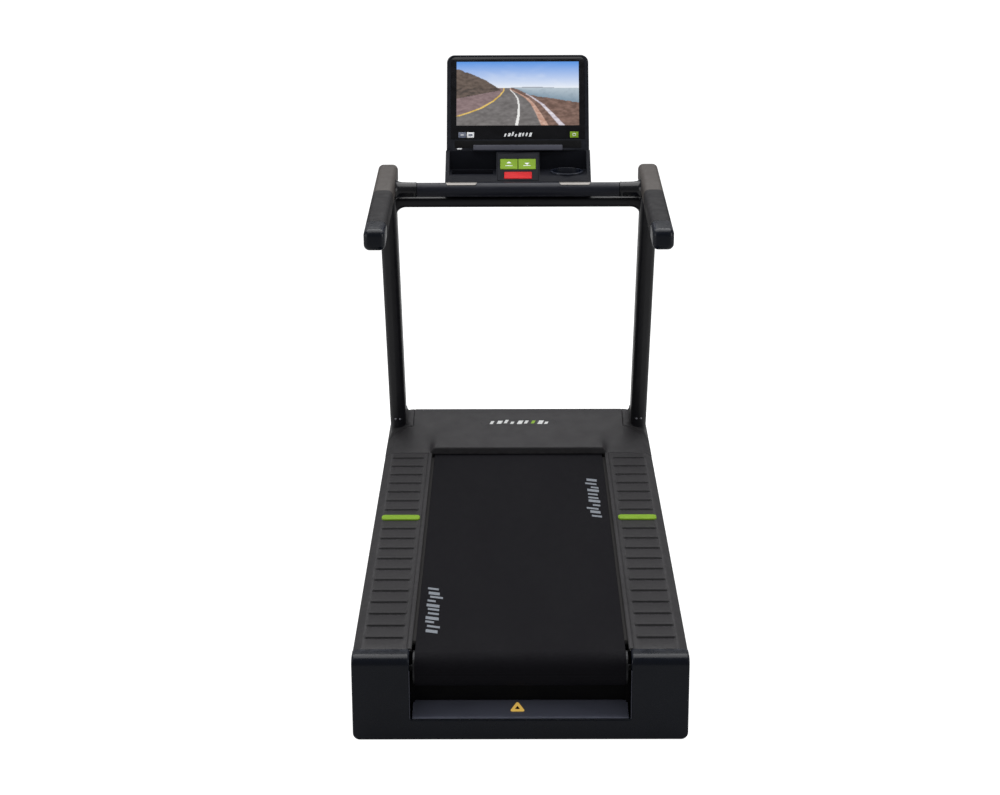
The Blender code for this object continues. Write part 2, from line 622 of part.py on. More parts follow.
def cap_solid(front_y, rear_y, inset, edge, steps):
    """A U-shaped block whose upper rear edge is rolled over, with its other rear edges cut by edge."""
    roll = CAP_ROLL - inset
    rings = [(front_y, 0.0, -inset), (rear_y + roll, 0.0, -inset)]
    for i in range(1, steps + 1):
        y, z = rear_y + roll * (1 - math.sin(math.pi / 2 * i / steps)), 1 - math.cos(math.pi / 2 * i / steps)
        rings.append((y, roll * z - edge * (i == steps), -inset - edge * (i == steps)))
    return loft([[(x, y, z) for x, z in cap_outline(grow, drop)] for y, drop, grow in rings])


def build_rear_cap():
    cap = add("rear_cap", cap_solid(CAP_FRONT_Y, REAR_Y, 0.0, CAP_EDGE, 5), "navy", True)
    inset = COVER_WALL + 0.001
    cavity = cap_solid(CAP_FRONT_Y + 0.010, REAR_Y + COVER_WALL, inset, 0.0, 4)
    cut(cap, add("cap_cavity", cavity, "navy"))
    slot = box((-FRAME_INNER_X, REAR_ROLLER_Y - 0.014, ROLLER_Z - 0.014),
               (FRAME_INNER_X, CAP_FRONT_Y + 0.010, ROLLER_Z + 0.014))
    cut(cap, add("cap_shaft_slot", slot, "navy"))
    y0, y1 = REAR_Y + 0.006, CAP_FRONT_Y + 0.008
    z0 = CAP_SILL_Z + 0.0005
    crest = z0 + (y1 - y0) * RAMP_RISE + RAMP_WALL
    outline = [(y0, z0), (y0 + 0.010, z0), (y1 + RAMP_WALL, crest - 0.006), (y1 + RAMP_WALL, RAMP_TOP_Z),
               (y1, RAMP_TOP_Z), (y1, crest), (y0 + 0.002, z0 + RAMP_WALL), (y0, z0 + RAMP_WALL - 0.001)]
    half = CAP_OPENING_HALF - 0.0085
    add("rear_ramp", prism_x(outline, -half, half), "navy")


def build_power_inlet():
    inlet = add("power_inlet", box((INLET_X - INLET_HALF, FRONT_Y - 0.030, INLET_Z - INLET_HIGH),
                                   (INLET_X + INLET_HALF, FRONT_Y, INLET_Z + INLET_HIGH)), "console")
    well = add("inlet_well", prism_y(rounded_rectangle(0.0115, 0.008, 0.003, 3, INLET_X, INLET_Z),
                                     FRONT_Y - 0.018, FRONT_Y + 0.010), "console")
    cut(inlet, well)


# ---- Uprights and handlebars --------------------------------------------------------------------

def arm_frame():
    """The tilted line that both handlebars follow, starting at their rear end."""
    return empty("arm_line", (0, ARM_END_Y, ARM_END_Z), ARM_TILT)


def arm_section(sign, inset=0.0):
    centre = sign * (ARM_INNER_X + ARM_WIDTH / 2)
    return rounded_rectangle(ARM_WIDTH / 2 - inset, ARM_HEIGHT / 2 - inset, 0.018 - inset, 4, centre, 0.0)


def section_rings(sign, stations):
    return [[(x, y, z) for x, z in arm_section(sign, inset)] for y, inset in stations]


def build_arms():
    line = arm_frame()
    cap_end = ARM_CAP_LENGTH
    grip_end = ARM_CAP_LENGTH + ARM_GRIP_LENGTH
    core = 0.008
    for side, sign in sides():
        arm = add(f"arm_{side}", loft(section_rings(sign, [
            (cap_end + GAP, core), (grip_end, core), (grip_end, 0.0), (ARM_LENGTH - 0.010, 0.0),
            (ARM_LENGTH - 0.003, 0.003), (ARM_LENGTH, 0.010)])), "warm_grey", True)
        grip = add(f"arm_grip_{side}", loft(section_rings(sign, [
            (cap_end + GAP, 0.0), (grip_end - GAP, 0.0), (grip_end - GAP, core - GAP),
            (cap_end + GAP, core - GAP)]), closed=True), "grip", True)
        cap = add(f"arm_cap_{side}", loft(section_rings(sign, [
            (cap_end, 0.0), (0.016, 0.0), (0.008, 0.002), (0.002, 0.007), (0.0, 0.014)])), "navy", True)
        for piece in (arm, grip, cap):
            piece.parent = line
        upright = upright_rings(sign, (FRAME_BOTTOM_Z, UPRIGHT_TOP_Z), 0.0, math.tan(ARM_TILT))
        add(f"upright_{side}", loft(upright), "tube", True)


def arm_underside(y):
    """Height of the handlebar's underside above the floor at one Y."""
    return ARM_END_Z + (y - ARM_END_Y) * math.tan(ARM_TILT) - ARM_HEIGHT / 2 / math.cos(ARM_TILT)


UPRIGHT_TOP_Y = 0.4610
UPRIGHT_TOP_Z = arm_underside(UPRIGHT_TOP_Y) - 0.0008


def build_crossbars():
    reach = UPRIGHT_INNER_X - GAP
    rings = []
    flare = [(1.0, 0.024), (0.992, 0.013), (0.978, 0.006), (0.955, 0.0015), (0.925, 0.0)]
    stations = [(-reach * f, drop) for f, drop in flare] + [(reach * f, drop) for f, drop in reversed(flare)]
    for x, drop in stations:
        outline = rounded_rectangle(0.021, 0.0167 + drop / 2, 0.013, 3, 0.483, 1.1918 - drop / 2)
        rings.append([(x, y, z) for y, z in outline])
    add("console_crossmember", loft(rings), "tube", True)
    bar = add("grip_bar", turned_x([(-GRIP_SEAM_X, GRIP_RADIUS), (GRIP_SEAM_X, GRIP_RADIUS)]), "navy", True)
    bar.location = (0, GRIP_Y, GRIP_Z)
    span = ARM_INNER_X - GAP - GRIP_SEAM_X
    for side, sign in sides():
        flare = ((GAP, 0.0), (span * 0.10, 0.0012), (span * 0.55, 0.0018), (span * 0.85, 0.003),
                 (span, 0.006))
        profile = [(sign * x, GRIP_RADIUS + swell) for x, swell in flare]
        elbow = add(f"grip_elbow_{side}", turned_x(profile), "navy", True)
        elbow.location = (sign * GRIP_SEAM_X, GRIP_Y, GRIP_Z)
        inner = arc(GRIP_Y, GRIP_Z, GRIP_RADIUS + GAP, 40, 140, 10)
        outer = arc(GRIP_Y, GRIP_Z, GRIP_RADIUS + GAP + 0.0012, 140, 40, 10)
        x0, x1 = sorted((sign * 0.134, sign * 0.236))
        add(f"pulse_plate_{side}", prism_x(inner + outer, x0, x1), "bright", True)


# ---- Console and display ------------------------------------------------------------------------

def block(low, high, corner, steps=3, bevel=0.0):
    """A plate with rounded corners in its own XY plane, with an optional bevel on its upper edge."""
    cx, cy = (low[0] + high[0]) / 2, (low[1] + high[1]) / 2
    hx, hy = (high[0] - low[0]) / 2, (high[1] - low[1]) / 2
    levels = [(low[2], 0.0), (high[2] - bevel, 0.0)]
    if bevel:
        levels.append((high[2], bevel))
    return loft([[(x, y, z) for x, y in rounded_rectangle(hx - inset, hy - inset, corner, steps, cx, cy)]
                 for z, inset in levels])


def build_console():
    (foot_y, foot_z), (head_y, head_z) = CONSOLE_FOOT, CONSOLE_HEAD
    back = (math.cos(DISPLAY_TILT), -math.sin(DISPLAY_TILT))
    rear_y, rear_z = head_y + DISPLAY_DEPTH * back[0], head_z + DISPLAY_DEPTH * back[1]
    outline = [(foot_y, CONSOLE_BOTTOM_Z), (foot_y, foot_z), (head_y - GAP, head_z - 0.0006),
               (rear_y, rear_z - 0.0006), (rear_y, 1.250), (0.625, CONSOLE_BOTTOM_Z)]
    base = add("console_base", prism_x(outline, -CONSOLE_HALF, CONSOLE_HALF), "console")
    slope = empty("console_slope", (0, foot_y, foot_z), CONSOLE_SLOPE)
    recess = add("keypad_recess", box((-PANEL_HALF - GAP, PANEL_SPAN[0] - GAP, -PANEL_THICKNESS - GAP),
                                      (PANEL_HALF + GAP, PANEL_SPAN[1] + GAP, 0.020)), "console")
    recess.parent = slope
    cut(base, recess)
    for side, sign in sides():
        x0, x1 = sorted(sign * x for x in LEDGE_X)
        ledge = box((x0, foot_y + 0.010, LEDGE_Z), (x1, LEDGE_BACK_Y, head_z + 0.050))
        cut(base, add(f"ledge_{side}", ledge, "console"))
    tray = box((TRAY_X[0], TRAY_Y[0], TRAY_Z), (TRAY_X[1], TRAY_Y[1], head_z + 0.050))
    cut(base, add("tray_well", tray, "console"))
    well = add("cup_well", turned_z([(1.150, CUP_NECK + 0.001), (1.420, CUP_NECK + 0.001)]), "console")
    well.location = (*CUP_CENTRE, 0)
    cut(base, well)
    low, high = PANEL_SPAN
    plate = block((-PANEL_HALF, low, -PANEL_THICKNESS), (PANEL_HALF, high, 0.0008), 0.004, 2, 0.0008)
    panel = add("keypad_panel", plate, "console")
    panel.parent = slope
    for name, (x, y, half_x, half_y, material) in KEYS.items():
        reach_x, reach_y = half_x + KEY_CLEARANCE, half_y + KEY_CLEARANCE
        hollow = block((x - reach_x, y - reach_y, -KEY_POCKET), (x + reach_x, y + reach_y, 0.010), 0.0035, 2)
        pocket = add(f"pocket_{name}", hollow, "console")
        pocket.parent = slope
        cut(panel, pocket)
        cap = block((-half_x, -half_y, -KEY_DEPTH), (half_x, half_y, KEY_PROUD), 0.003, 2, 0.001)
        key = add(name, cap, material)
        key.location = (x, y, 0)
        key.parent = slope
    build_cup_holder()


def build_cup_holder():
    wall = 0.0025
    bottom_z = 1.168
    low, high = 0.0385, CUP_NECK
    rim, edge = CUP_RIM_Z, 0.001
    profile = [(bottom_z, low), (rim - CUP_FLANGE, high), (rim - CUP_FLANGE, CUP_RADIUS),
               (rim - edge, CUP_RADIUS), (rim, CUP_RADIUS - edge), (rim, high - wall + edge),
               (rim - edge, high - wall), (bottom_z + 0.003, low - wall)]
    cup = add("cup_holder", turned_z(profile), "navy", True)
    cup.location = (*CUP_CENTRE, 0)


def display_outline(half, low, high, corner):
    """The display's outline: square at the foot, rounded at the head."""
    return ([(-half, low), (half, low)] + arc(half - corner, high - corner, corner, 0, 90, 5)
            + arc(-half + corner, high - corner, corner, 90, 180, 5))


def build_display():
    face = empty("display_face", (0, *CONSOLE_HEAD), math.pi / 2 - DISPLAY_TILT)
    rings = []
    for z, inset in ((-DISPLAY_DEPTH, 0.010), (-DISPLAY_DEPTH + 0.010, 0.0), (-0.002, 0.0), (0.0, 0.002)):
        rings.append([(x, y, z) for x, y in display_outline(DISPLAY_HALF - inset, 0.0, DISPLAY_HEIGHT - inset,
                                                            0.026 - inset)])
    housing = add("display_housing", loft(rings), "console", True)
    pocket = loft([[(x, y, z) for x, y in display_outline(0.2233, 0.0375, 0.3278, 0.0163)]
                   for z in (-0.005, 0.010)])
    pocket_tool = add("bezel_pocket", pocket, "console")
    cut(housing, pocket_tool)
    bezel = add("display_bezel", loft([[(x, y, z) for x, y in display_outline(0.2230, 0.0378, 0.3275, 0.016)]
                                       for z in (-0.0047, -0.0002)]), "glass")
    window = add("bezel_window", box((-SCREEN_HALF - GAP, SCREEN_LOW - GAP, -0.020),
                                     (SCREEN_HALF + GAP, SCREEN_HIGH + GAP, 0.020)), "glass")
    cut(bezel, window)
    pane = box((-SCREEN_HALF, SCREEN_LOW, -0.0047), (SCREEN_HALF, SCREEN_HIGH, -0.0010))
    screen = add("display_screen", pane, "screen")
    lip = block((-RACK_HALF, 0.0015, GAP), (RACK_HALF, 0.0200, 0.0125), 0.003, 2, 0.001)
    rack = add("reading_rack", lip, "warm_grey")
    for piece in (housing, pocket_tool, bezel, window, screen, rack):
        piece.parent = face


# ---- Assembly -----------------------------------------------------------------------------------

def clear_scene():
    for obj in list(bpy.data.objects):
        bpy.data.objects.remove(obj, do_unlink=True)


def main():
    clear_scene()
    for name, values in COLOURS.items():
        MATERIALS[name] = make_material(name, *values)
    build_frame()
    build_feet()
    build_running_surface()
    build_rollers()
    build_drive()
    for side, sign in sides():
        build_side_rail(side, sign)
    build_hood()
    build_power_inlet()
    build_rear_cap()
    build_arms()
    build_crossbars()
    build_console()
    build_display()
    bpy.context.view_layer.update()


main()
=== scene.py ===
"""Looks of the gym treadmill: finished surfaces, materials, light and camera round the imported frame.

Metres, +Z up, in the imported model's own frame: the user faces +Y and +X is the user's right.
"""

import math

import bmesh
import bpy
from mathutils import Matrix, Vector, noise


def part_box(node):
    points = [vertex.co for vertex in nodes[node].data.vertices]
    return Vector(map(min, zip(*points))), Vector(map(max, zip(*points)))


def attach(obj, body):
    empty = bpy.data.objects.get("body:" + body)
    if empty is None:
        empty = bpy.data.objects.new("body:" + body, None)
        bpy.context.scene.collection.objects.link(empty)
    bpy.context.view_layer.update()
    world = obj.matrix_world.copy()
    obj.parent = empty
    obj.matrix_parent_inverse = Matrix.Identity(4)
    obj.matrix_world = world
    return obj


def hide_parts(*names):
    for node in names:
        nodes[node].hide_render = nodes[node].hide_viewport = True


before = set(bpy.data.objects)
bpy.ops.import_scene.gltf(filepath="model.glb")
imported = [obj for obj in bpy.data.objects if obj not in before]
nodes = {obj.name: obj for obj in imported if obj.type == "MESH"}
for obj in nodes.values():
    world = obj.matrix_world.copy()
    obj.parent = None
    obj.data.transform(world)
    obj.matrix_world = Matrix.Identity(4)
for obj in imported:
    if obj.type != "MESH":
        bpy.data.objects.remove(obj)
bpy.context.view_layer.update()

# ---- Driving dimensions ----

CAP_SKIRT = 0.005                 # thin lower edge of the rear cap
DECK_END_Y = -0.934               # the near-black stops of painted shade behind the deck board's rear end
SEAM = 0.0006                     # half of the gap left between two moulded covers
RAIL_CHAMFER = (0.026, 0.012)     # width and drop of a side rail's sloped outer edge
RAIL_WALL = 0.003
BEAD_WIDTH = 0.0125               # raised bead along a rail's inner edge
RIB_COUNT = 19
RIB_PITCH = 0.0856
RIB_HEIGHT = 0.005
RIB_INNER_X = 0.325
RIB_OUTER_X = 0.4385
RIB_DEPTH = 0.028
RIB_CORNER = 0.01
RIB_FLANK = 0.0026                # depth of a rib's steep side, towards the user's heels
GROOVE_WIDTH = 0.0046             # the shadow groove behind each rib
GROOVE_DEPTH = 0.0014
MARKER_INDEX = 11                 # which rib's place the green marker takes
MARKER_CORNER = 0.0125

HOOD_SLOPE_END = (0.88, 0.3155)   # Y, Z where the hood's straight slope ends
HOOD_CREST = ((0.92, 0.323), (0.95, 0.323), (0.985, 0.315), (1.015, 0.298), (1.036, 0.271))
HOOD_NOSE_Z = 0.232               # where the crest's curve reaches the front
HOOD_LIP_Z = 0.27
HOOD_LIP = 0.02                   # how far the hood's lip stands above the rails over the belt
SWELL_WIDTH = 0.112               # from the hood's side to the full height of its crown
CORNER_X = 0.373
CORNER_Y = 0.836
EAR_HEIGHT = 0.028                # the corner cover's fillet round the upright's foot
EAR_REACH = 0.026
EAR_FRONT_Y = 0.927
EMBLEM_Y = 0.849
EMBLEM_HALF = (0.133, 0.021)
EMBLEM_DEPTH = 0.0014
COVER_WALL = 0.003
HOOD_BEND = 0.012                 # radius of the hood's front corners, seen from above
RAIL_TOP_Z = HOOD_LIP_Z - HOOD_LIP

BELT_MARKS = (("belt_mark_left", -0.251, -0.876, -0.537, -math.pi / 2),   # X, Y from, Y to, turn
              ("belt_mark_right", 0.247, 0.061, 0.436, math.pi / 2))

UPRIGHT_LEAN = 0.46
UPRIGHT_FOOT = (0.9735, 0.105)    # Y, Z of its centre line at the frame
UPRIGHT_HALF_Y = 0.044
UPRIGHT_SETBACK = 0.0045          # how far the outer half of its rear face falls back at the side
FOOT_SCREW_Z = 0.3294
SCREW_PROFILE = ((-0.0022, 0.0006), (-0.002, 0.0026), (-0.0012, 0.0038), (0.0, 0.0043), (0.004, 0.0043))
ARM_TILT = math.radians(2.45)
ARM_HALF_Z = 0.0325
ARM_END = (-0.21, 1.2235)         # Y, Z of the centre of the arm's rear end
DISPLAY_TILT = math.radians(30)
DISPLAY_FOOT = (0.61, 1.338)
CONSOLE_FOOT = (0.4735, 1.2585)
KEYS = (("key_faster", -0.0298, 0.086, 0.0288, 0.0255, "green_key", 1),   # middle, half size, paint, arrow
        ("key_slower", 0.0298, 0.086, 0.0288, 0.0255, "green_key", -1),
        ("key_stop", 0.0, 0.031, 0.0455, 0.017, "red_key", 0))
TRAY_MAT = ((-0.2165, 0.5295), (-0.0835, 0.5985))
TRAY_Z = 1.255
SCREEN_LOW, SCREEN_HIGH = 0.0858, 0.3103
SCREEN_HALF = 0.2042
RACK_DROP = 0.006                 # how far the reading rack's lip sits below its CAD place
DISPLAY_MARKS = (                 # name, middle, half size, paint, height over the glass, corner, slot
    # The media slot is a near-black mark of painted shade in the slot's opening.
    ("media_slot", 0.0, 0.02, 0.21, 0.013, "gap_black", 0.0002, 0.002, "console"),
    ("icon_left", -0.185, 0.0525, 0.0125, 0.0095, "ink_blue"),
    ("icon_middle", -0.1575, 0.0525, 0.012, 0.0095, "ink_white"),
    ("icon_right", 0.187, 0.053, 0.014, 0.0105, "green_key", 0.0001, 0.0015, "green_key"),
    ("icon_left_bar", -0.185, 0.0525, 0.005, 0.0016, "ink_white", 0.0004, 0.001),
    ("icon_middle_bar", -0.1575, 0.0525, 0.0066, 0.003, "ink_blue", 0.0004, 0.001),
    ("icon_right_ring", 0.187, 0.053, 0.006, 0.005, "ink_white", 0.0004, 0.0045),
    ("icon_right_dot", 0.187, 0.053, 0.004, 0.0033, "green_key", 0.0006, 0.003),
    ("port_mark", -0.194, 0.004, 0.008, 0.0022, "ink_white", 0.0004, 0.001, "console"))

# ---- Materials ----


class Paint:
    """A Principled material built from procedural nodes in object coordinates."""

    def __init__(self, name, roughness=0.5, specular=0.5, **sockets):
        self.material = bpy.data.materials.new(name)
        self.material.use_nodes = True
        self.tree = self.material.node_tree
        self.shader = self.tree.nodes["Principled BSDF"]
        sockets.update({"Roughness": roughness, "Specular IOR Level": specular})
        for socket, value in sockets.items():
            self.shader.inputs[socket.replace("_", " ")].default_value = value
        self.place = self.add("ShaderNodeTexCoord").outputs["Object"]
        self.normal = None

    def add(self, kind, inputs=None, **settings):
        node = self.tree.nodes.new(kind)
        for key, value in settings.items():
            setattr(node, key, value)
        for key, value in (inputs or {}).items():
            if isinstance(value, bpy.types.NodeSocket):
                self.tree.links.new(value, node.inputs[key])
            else:
                node.inputs[key].default_value = value
        return node

    def noise(self, scale, detail=3.0, stretch=None, distortion=0.0):
        place = self.place
        if stretch:
            place = self.add("ShaderNodeMapping", {"Vector": place, "Scale": stretch}).outputs["Vector"]
        return self.add("ShaderNodeTexNoise", {"Vector": place, "Scale": scale, "Detail": detail,
                                               "Distortion": distortion}).outputs["Fac"]

    def pebbles(self, scale):
        return self.add("ShaderNodeTexVoronoi", {"Vector": self.place, "Scale": scale},
                        feature="SMOOTH_F1").outputs["Distance"]

    def wave(self, scale, direction):
        return self.add("ShaderNodeTexWave", {"Vector": self.place, "Scale": scale},
                        bands_direction=direction).outputs["Fac"]

    def span(self, value, low, high, to_low=0.0, to_high=1.0):
        return self.add("ShaderNodeMapRange", {"Value": value, "From Min": low, "From Max": high,
                                               "To Min": to_low, "To Max": to_high}).outputs["Result"]

    def math(self, operation, *values):
        return self.add("ShaderNodeMath", dict(enumerate(values)), operation=operation).outputs["Value"]

    def mix(self, factor, a, b):
        values = {0: factor, 6: a if isinstance(a, bpy.types.NodeSocket) else (*a, 1.0),
                  7: b if isinstance(b, bpy.types.NodeSocket) else (*b, 1.0)}
        return self.add("ShaderNodeMix", values, data_type="RGBA").outputs[2]

    def feed(self, source, socket):
        self.tree.links.new(source, self.shader.inputs[socket])

    def tone(self, pattern, low, high, dark, light, smooth, rough):
        """Colour and roughness that both follow one pattern, read between low and high."""
        self.feed(self.mix(self.span(pattern, low, high), dark, light), "Base Color")
        self.feed(self.span(pattern, low, high, smooth, rough), "Roughness")

    def relief(self, height, depth, strength=1.0):
        inputs = {"Height": height, "Distance": depth, "Strength": strength}
        if self.normal:
            inputs["Normal"] = self.normal
        self.normal = self.add("ShaderNodeBump", inputs).outputs["Normal"]
        self.feed(self.normal, "Normal")

    def edges(self, base, wear_and_highlight):
        """Mix a lighter colour into the base in patches along sharp outer edges: wear on most parts, a
        painted highlight on the rims of the navy parts.
        """
        ridge = self.span(self.add("ShaderNodeNewGeometry").outputs["Pointiness"], 0.515, 0.6)
        return self.mix(self.math("MULTIPLY", ridge, self.span(self.noise(45), 0.35, 0.65)), base, wear_and_highlight)


def moulded(name, dark, light, roughness, grain=650.0, depth=0.00025, wear_and_highlight=None, specular=0.5):
    """Moulded plastic: a fine leather-like grain, faint flow marks and lighter edges, which are wear on most
    parts and a painted highlight on the navy parts' rims.
    """
    paint = Paint(name, roughness, specular)
    cloud = paint.span(paint.noise(5.0, 5.0), 0.35, 0.68)
    speckle = paint.span(paint.noise(grain * 0.7, 2.0), 0.3, 0.7, 0.0, 0.18)
    base = paint.mix(paint.math("MULTIPLY_ADD", cloud, 0.7, 0.5), dark, light)
    base = paint.mix(speckle, base, light)
    if wear_and_highlight:
        base = paint.edges(base, wear_and_highlight)
    paint.feed(base, "Base Color")
    paint.feed(paint.span(paint.noise(22.0, 4.0), 0.3, 0.7, roughness - 0.06, roughness + 0.07), "Roughness")
    paint.relief(paint.pebbles(grain), depth, 0.55)
    paint.relief(paint.noise(2.4, 2.0), 0.004, 0.1)
    return paint.material


def belt_material():
    """Woven running belt: a fine diamond emboss with dust rubbed into the running line."""
    paint = Paint("belt_weave", 0.72, 0.07)
    weave = paint.math("MULTIPLY", paint.wave(520.0, "X"), paint.wave(430.0, "Y"))
    dust = paint.noise(7.0, 6.0, (1.0, 0.35, 1.0))
    thread = paint.mix(weave, (0.0048, 0.0046, 0.0064), (0.01, 0.0095, 0.0128))
    dusty = paint.mix(paint.span(dust, 0.38, 0.72, 0.0, 0.35), thread, (0.013, 0.0122, 0.015))
    paint.feed(dusty, "Base Color")
    paint.feed(paint.span(dust, 0.38, 0.72, 0.62, 0.8), "Roughness")
    paint.relief(weave, 0.0004, 0.6)
    paint.relief(paint.noise(900.0, 2.0), 0.0002, 0.5)
    return paint.material


def brushed(name, dark, light, roughness, direction):
    """Brushed or turned metal with streaks along one direction."""
    paint = Paint(name, roughness, Metallic=1.0)
    streaks = paint.noise(40.0, 6.0, direction)
    paint.tone(streaks, 0.3, 0.7, dark, light, roughness - 0.07, roughness + 0.1)
    paint.relief(streaks, 0.0003, 0.3)
    return paint.material


def foam_grip():
    """Rubber-like sleeve with a pebbled skin."""
    paint = Paint("grip_sleeve", 0.66, 0.12)
    pebble = paint.pebbles(420.0)
    base = paint.mix(paint.span(pebble, 0.1, 0.6), (0.015, 0.0145, 0.0158), (0.0212, 0.0205, 0.0222))
    handled = paint.span(paint.noise(9.0, 4.0), 0.45, 0.75, 0.0, 0.4)
    paint.feed(paint.mix(handled, base, (0.0275, 0.0262, 0.0275)), "Base Color")
    paint.feed(paint.span(paint.noise(30.0), 0.3, 0.7, 0.58, 0.74), "Roughness")
    paint.relief(pebble, 0.0005, 0.6)
    return paint.material


def deck_board():
    """Phenolic-faced board: near-black wood fibre with a waxed sheen."""
    paint = Paint("deck_board", 0.42, 0.15)
    fibre = paint.noise(18.0, 8.0, (1.0, 0.06, 1.0), 0.6)
    paint.tone(fibre, 0.3, 0.7, (0.0075, 0.0068, 0.007), (0.014, 0.0125, 0.0125), 0.34, 0.52)
    paint.relief(fibre, 0.0005, 0.3)
    return paint.material


def rubber():
    """Moulded rubber with a grey bloom."""
    paint = Paint("rubber_mould", 0.75, 0.25)
    bloom = paint.noise(60.0, 5.0)
    paint.tone(bloom, 0.35, 0.7, (0.01, 0.01, 0.01), (0.024, 0.023, 0.022), 0.68, 0.84)
    paint.relief(paint.noise(700.0, 2.0), 0.0003, 0.5)
    return paint.material


def glass_black():
    """Gloss black front glass with faint wiping marks."""
    paint = Paint("front_glass", 0.1, 0.25)
    smear = paint.noise(14.0, 6.0, (1.0, 2.5, 1.0), 1.2)
    shade = paint.mix(paint.span(smear, 0.35, 0.7), (0.0042, 0.0042, 0.0052), (0.0075, 0.0075, 0.0095))
    paint.feed(shade, "Base Color")
    paint.feed(paint.span(smear, 0.35, 0.75, 0.08, 0.2), "Roughness")
    paint.relief(paint.noise(500.0), 0.00002, 0.2)
    return paint.material


def printed(name, dark, light, roughness=0.5, **sockets):
    """Printed or dyed mark with slightly uneven ink."""
    paint = Paint(name, roughness, **sockets)
    paint.tone(paint.noise(260.0, 4.0), 0.3, 0.7, dark, light, roughness - 0.06, roughness + 0.08)
    paint.relief(paint.noise(900.0), 0.0001, 0.3)
    return paint.material


MATERIALS = {
    "cover": moulded("cover_plastic", (0.0258, 0.025, 0.027), (0.0338, 0.0326, 0.035), 0.54,
                     wear_and_highlight=(0.046, 0.045, 0.048), specular=0.17),
    # The navy plastic's lighter edge colour is a painted highlight along its rounded rims.
    "rear_cap": moulded("navy_plastic", (0.0016, 0.0028, 0.0066), (0.0026, 0.0044, 0.01), 0.28,
                        grain=900.0, depth=0.00012, wear_and_highlight=(0.08, 0.088, 0.115), specular=0.26),
    "ramp": moulded("ramp_plastic", (0.115, 0.123, 0.166), (0.145, 0.155, 0.208), 0.42, grain=900.0,
                    depth=0.00015, specular=0.3),
    "belt": belt_material(),
    "marker": moulded("marker_green", (0.175, 0.318, 0.014), (0.21, 0.372, 0.02), 0.46, grain=800.0,
                      depth=0.00015, specular=0.2),
    "frame_steel": moulded("frame_powder_coat", (0.02, 0.02, 0.022), (0.032, 0.032, 0.035), 0.48,
                           grain=1400.0, depth=0.0002, wear_and_highlight=(0.1, 0.1, 0.1)),
    "machined_steel": brushed("machined_steel", (0.42, 0.42, 0.43), (0.68, 0.68, 0.7), 0.26,
                              (14.0, 1.0, 1.0)),
    "pulley": brushed("turned_aluminium", (0.5, 0.5, 0.5), (0.74, 0.74, 0.75), 0.3, (20.0, 1.0, 1.0)),
    "motor": moulded("motor_enamel", (0.022, 0.024, 0.028), (0.04, 0.043, 0.05), 0.4, grain=1200.0),
    "deck_board": deck_board(),
    "rubber": rubber(),
    # The rollers' steel is kept near-black, as painted shade for the dark gaps round the belt's ends.
    "roller": brushed("roller_steel_painted_shade", (0.03, 0.03, 0.032), (0.055, 0.055, 0.058), 0.5, (20.0, 1.0, 1.0)),
    "screw": brushed("screw_steel", (0.24, 0.24, 0.27), (0.36, 0.36, 0.4), 0.36, (20.0, 20.0, 1.0)),
    "upright": moulded("upright_coat", (0.0068, 0.0068, 0.0088), (0.0105, 0.0105, 0.0132), 0.34,
                       grain=1500.0, depth=0.0001, wear_and_highlight=(0.03, 0.03, 0.036), specular=0.32),
    "pulse_plate": brushed("pulse_steel", (0.15, 0.141, 0.134), (0.215, 0.202, 0.192), 0.34,
                           (1.0, 16.0, 16.0)),
    "handlebar": moulded("handlebar_plastic", (0.045, 0.0395, 0.0365), (0.058, 0.051, 0.047), 0.5,
                         grain=900.0, wear_and_highlight=(0.085, 0.076, 0.071), specular=0.22),
    "grip_bar": moulded("bar_plastic", (0.009, 0.01, 0.0165), (0.013, 0.0145, 0.0225), 0.4, grain=1100.0,
                        depth=0.0001, specular=0.25),
    "elbow": moulded("elbow_gloss", (0.004, 0.0043, 0.0062), (0.0062, 0.0066, 0.0092), 0.22, grain=1500.0,
                     depth=0.00005, specular=0.4),
    "grip": foam_grip(),
    "console": moulded("console_plastic", (0.0062, 0.0068, 0.0095), (0.0092, 0.01, 0.0138), 0.46,
                       grain=900.0, depth=0.0002, wear_and_highlight=(0.022, 0.024, 0.03), specular=0.05),
    # Near-black painted shade, for plates and marks put in gaps and openings where only shade falls.
    "gap_black": moulded("painted_shade_black_plastic", (0.0015, 0.0015, 0.0018), (0.003, 0.003, 0.0036), 0.7,
                         specular=0.1),
    "rack": moulded("rack_plastic", (0.046, 0.048, 0.064), (0.066, 0.068, 0.088), 0.4, grain=1100.0,
                    specular=0.2),
    "glass": glass_black(),
    "green_key": moulded("key_green", (0.158, 0.272, 0.018), (0.192, 0.318, 0.024), 0.34, grain=1300.0,
                         depth=0.00008, specular=0.06),
    "red_key": moulded("key_red", (0.48, 0.014, 0.017), (0.56, 0.021, 0.025), 0.34, grain=1300.0,
                       depth=0.00008, specular=0.06),
    "ink_white": printed("ink_white", (0.62, 0.64, 0.66), (0.8, 0.81, 0.83)),
    "ink_silver": printed("ink_silver", (0.155, 0.175, 0.205), (0.235, 0.255, 0.29), 0.6),
    "ink_bright": printed("ink_bright", (0.5, 0.51, 0.51), (0.66, 0.67, 0.67), 0.42),
    "ink_blue": printed("ink_blue", (0.085, 0.1, 0.15), (0.13, 0.145, 0.2), 0.3),
    # The amber ink also glows faintly: a painted glow that lifts the sign out of the shade under the belt.
    "amber_ink_painted_glow": printed("amber_ink_painted_glow", (0.8, 0.5, 0.07), (0.92, 0.66, 0.16), 0.45,
                         Emission_Color=(1.0, 0.62, 0.14, 1.0), Emission_Strength=0.42),
    "ink_black": printed("ink_black", (0.006, 0.006, 0.006), (0.014, 0.013, 0.012), 0.5),
}

# ---- Mesh helpers ----


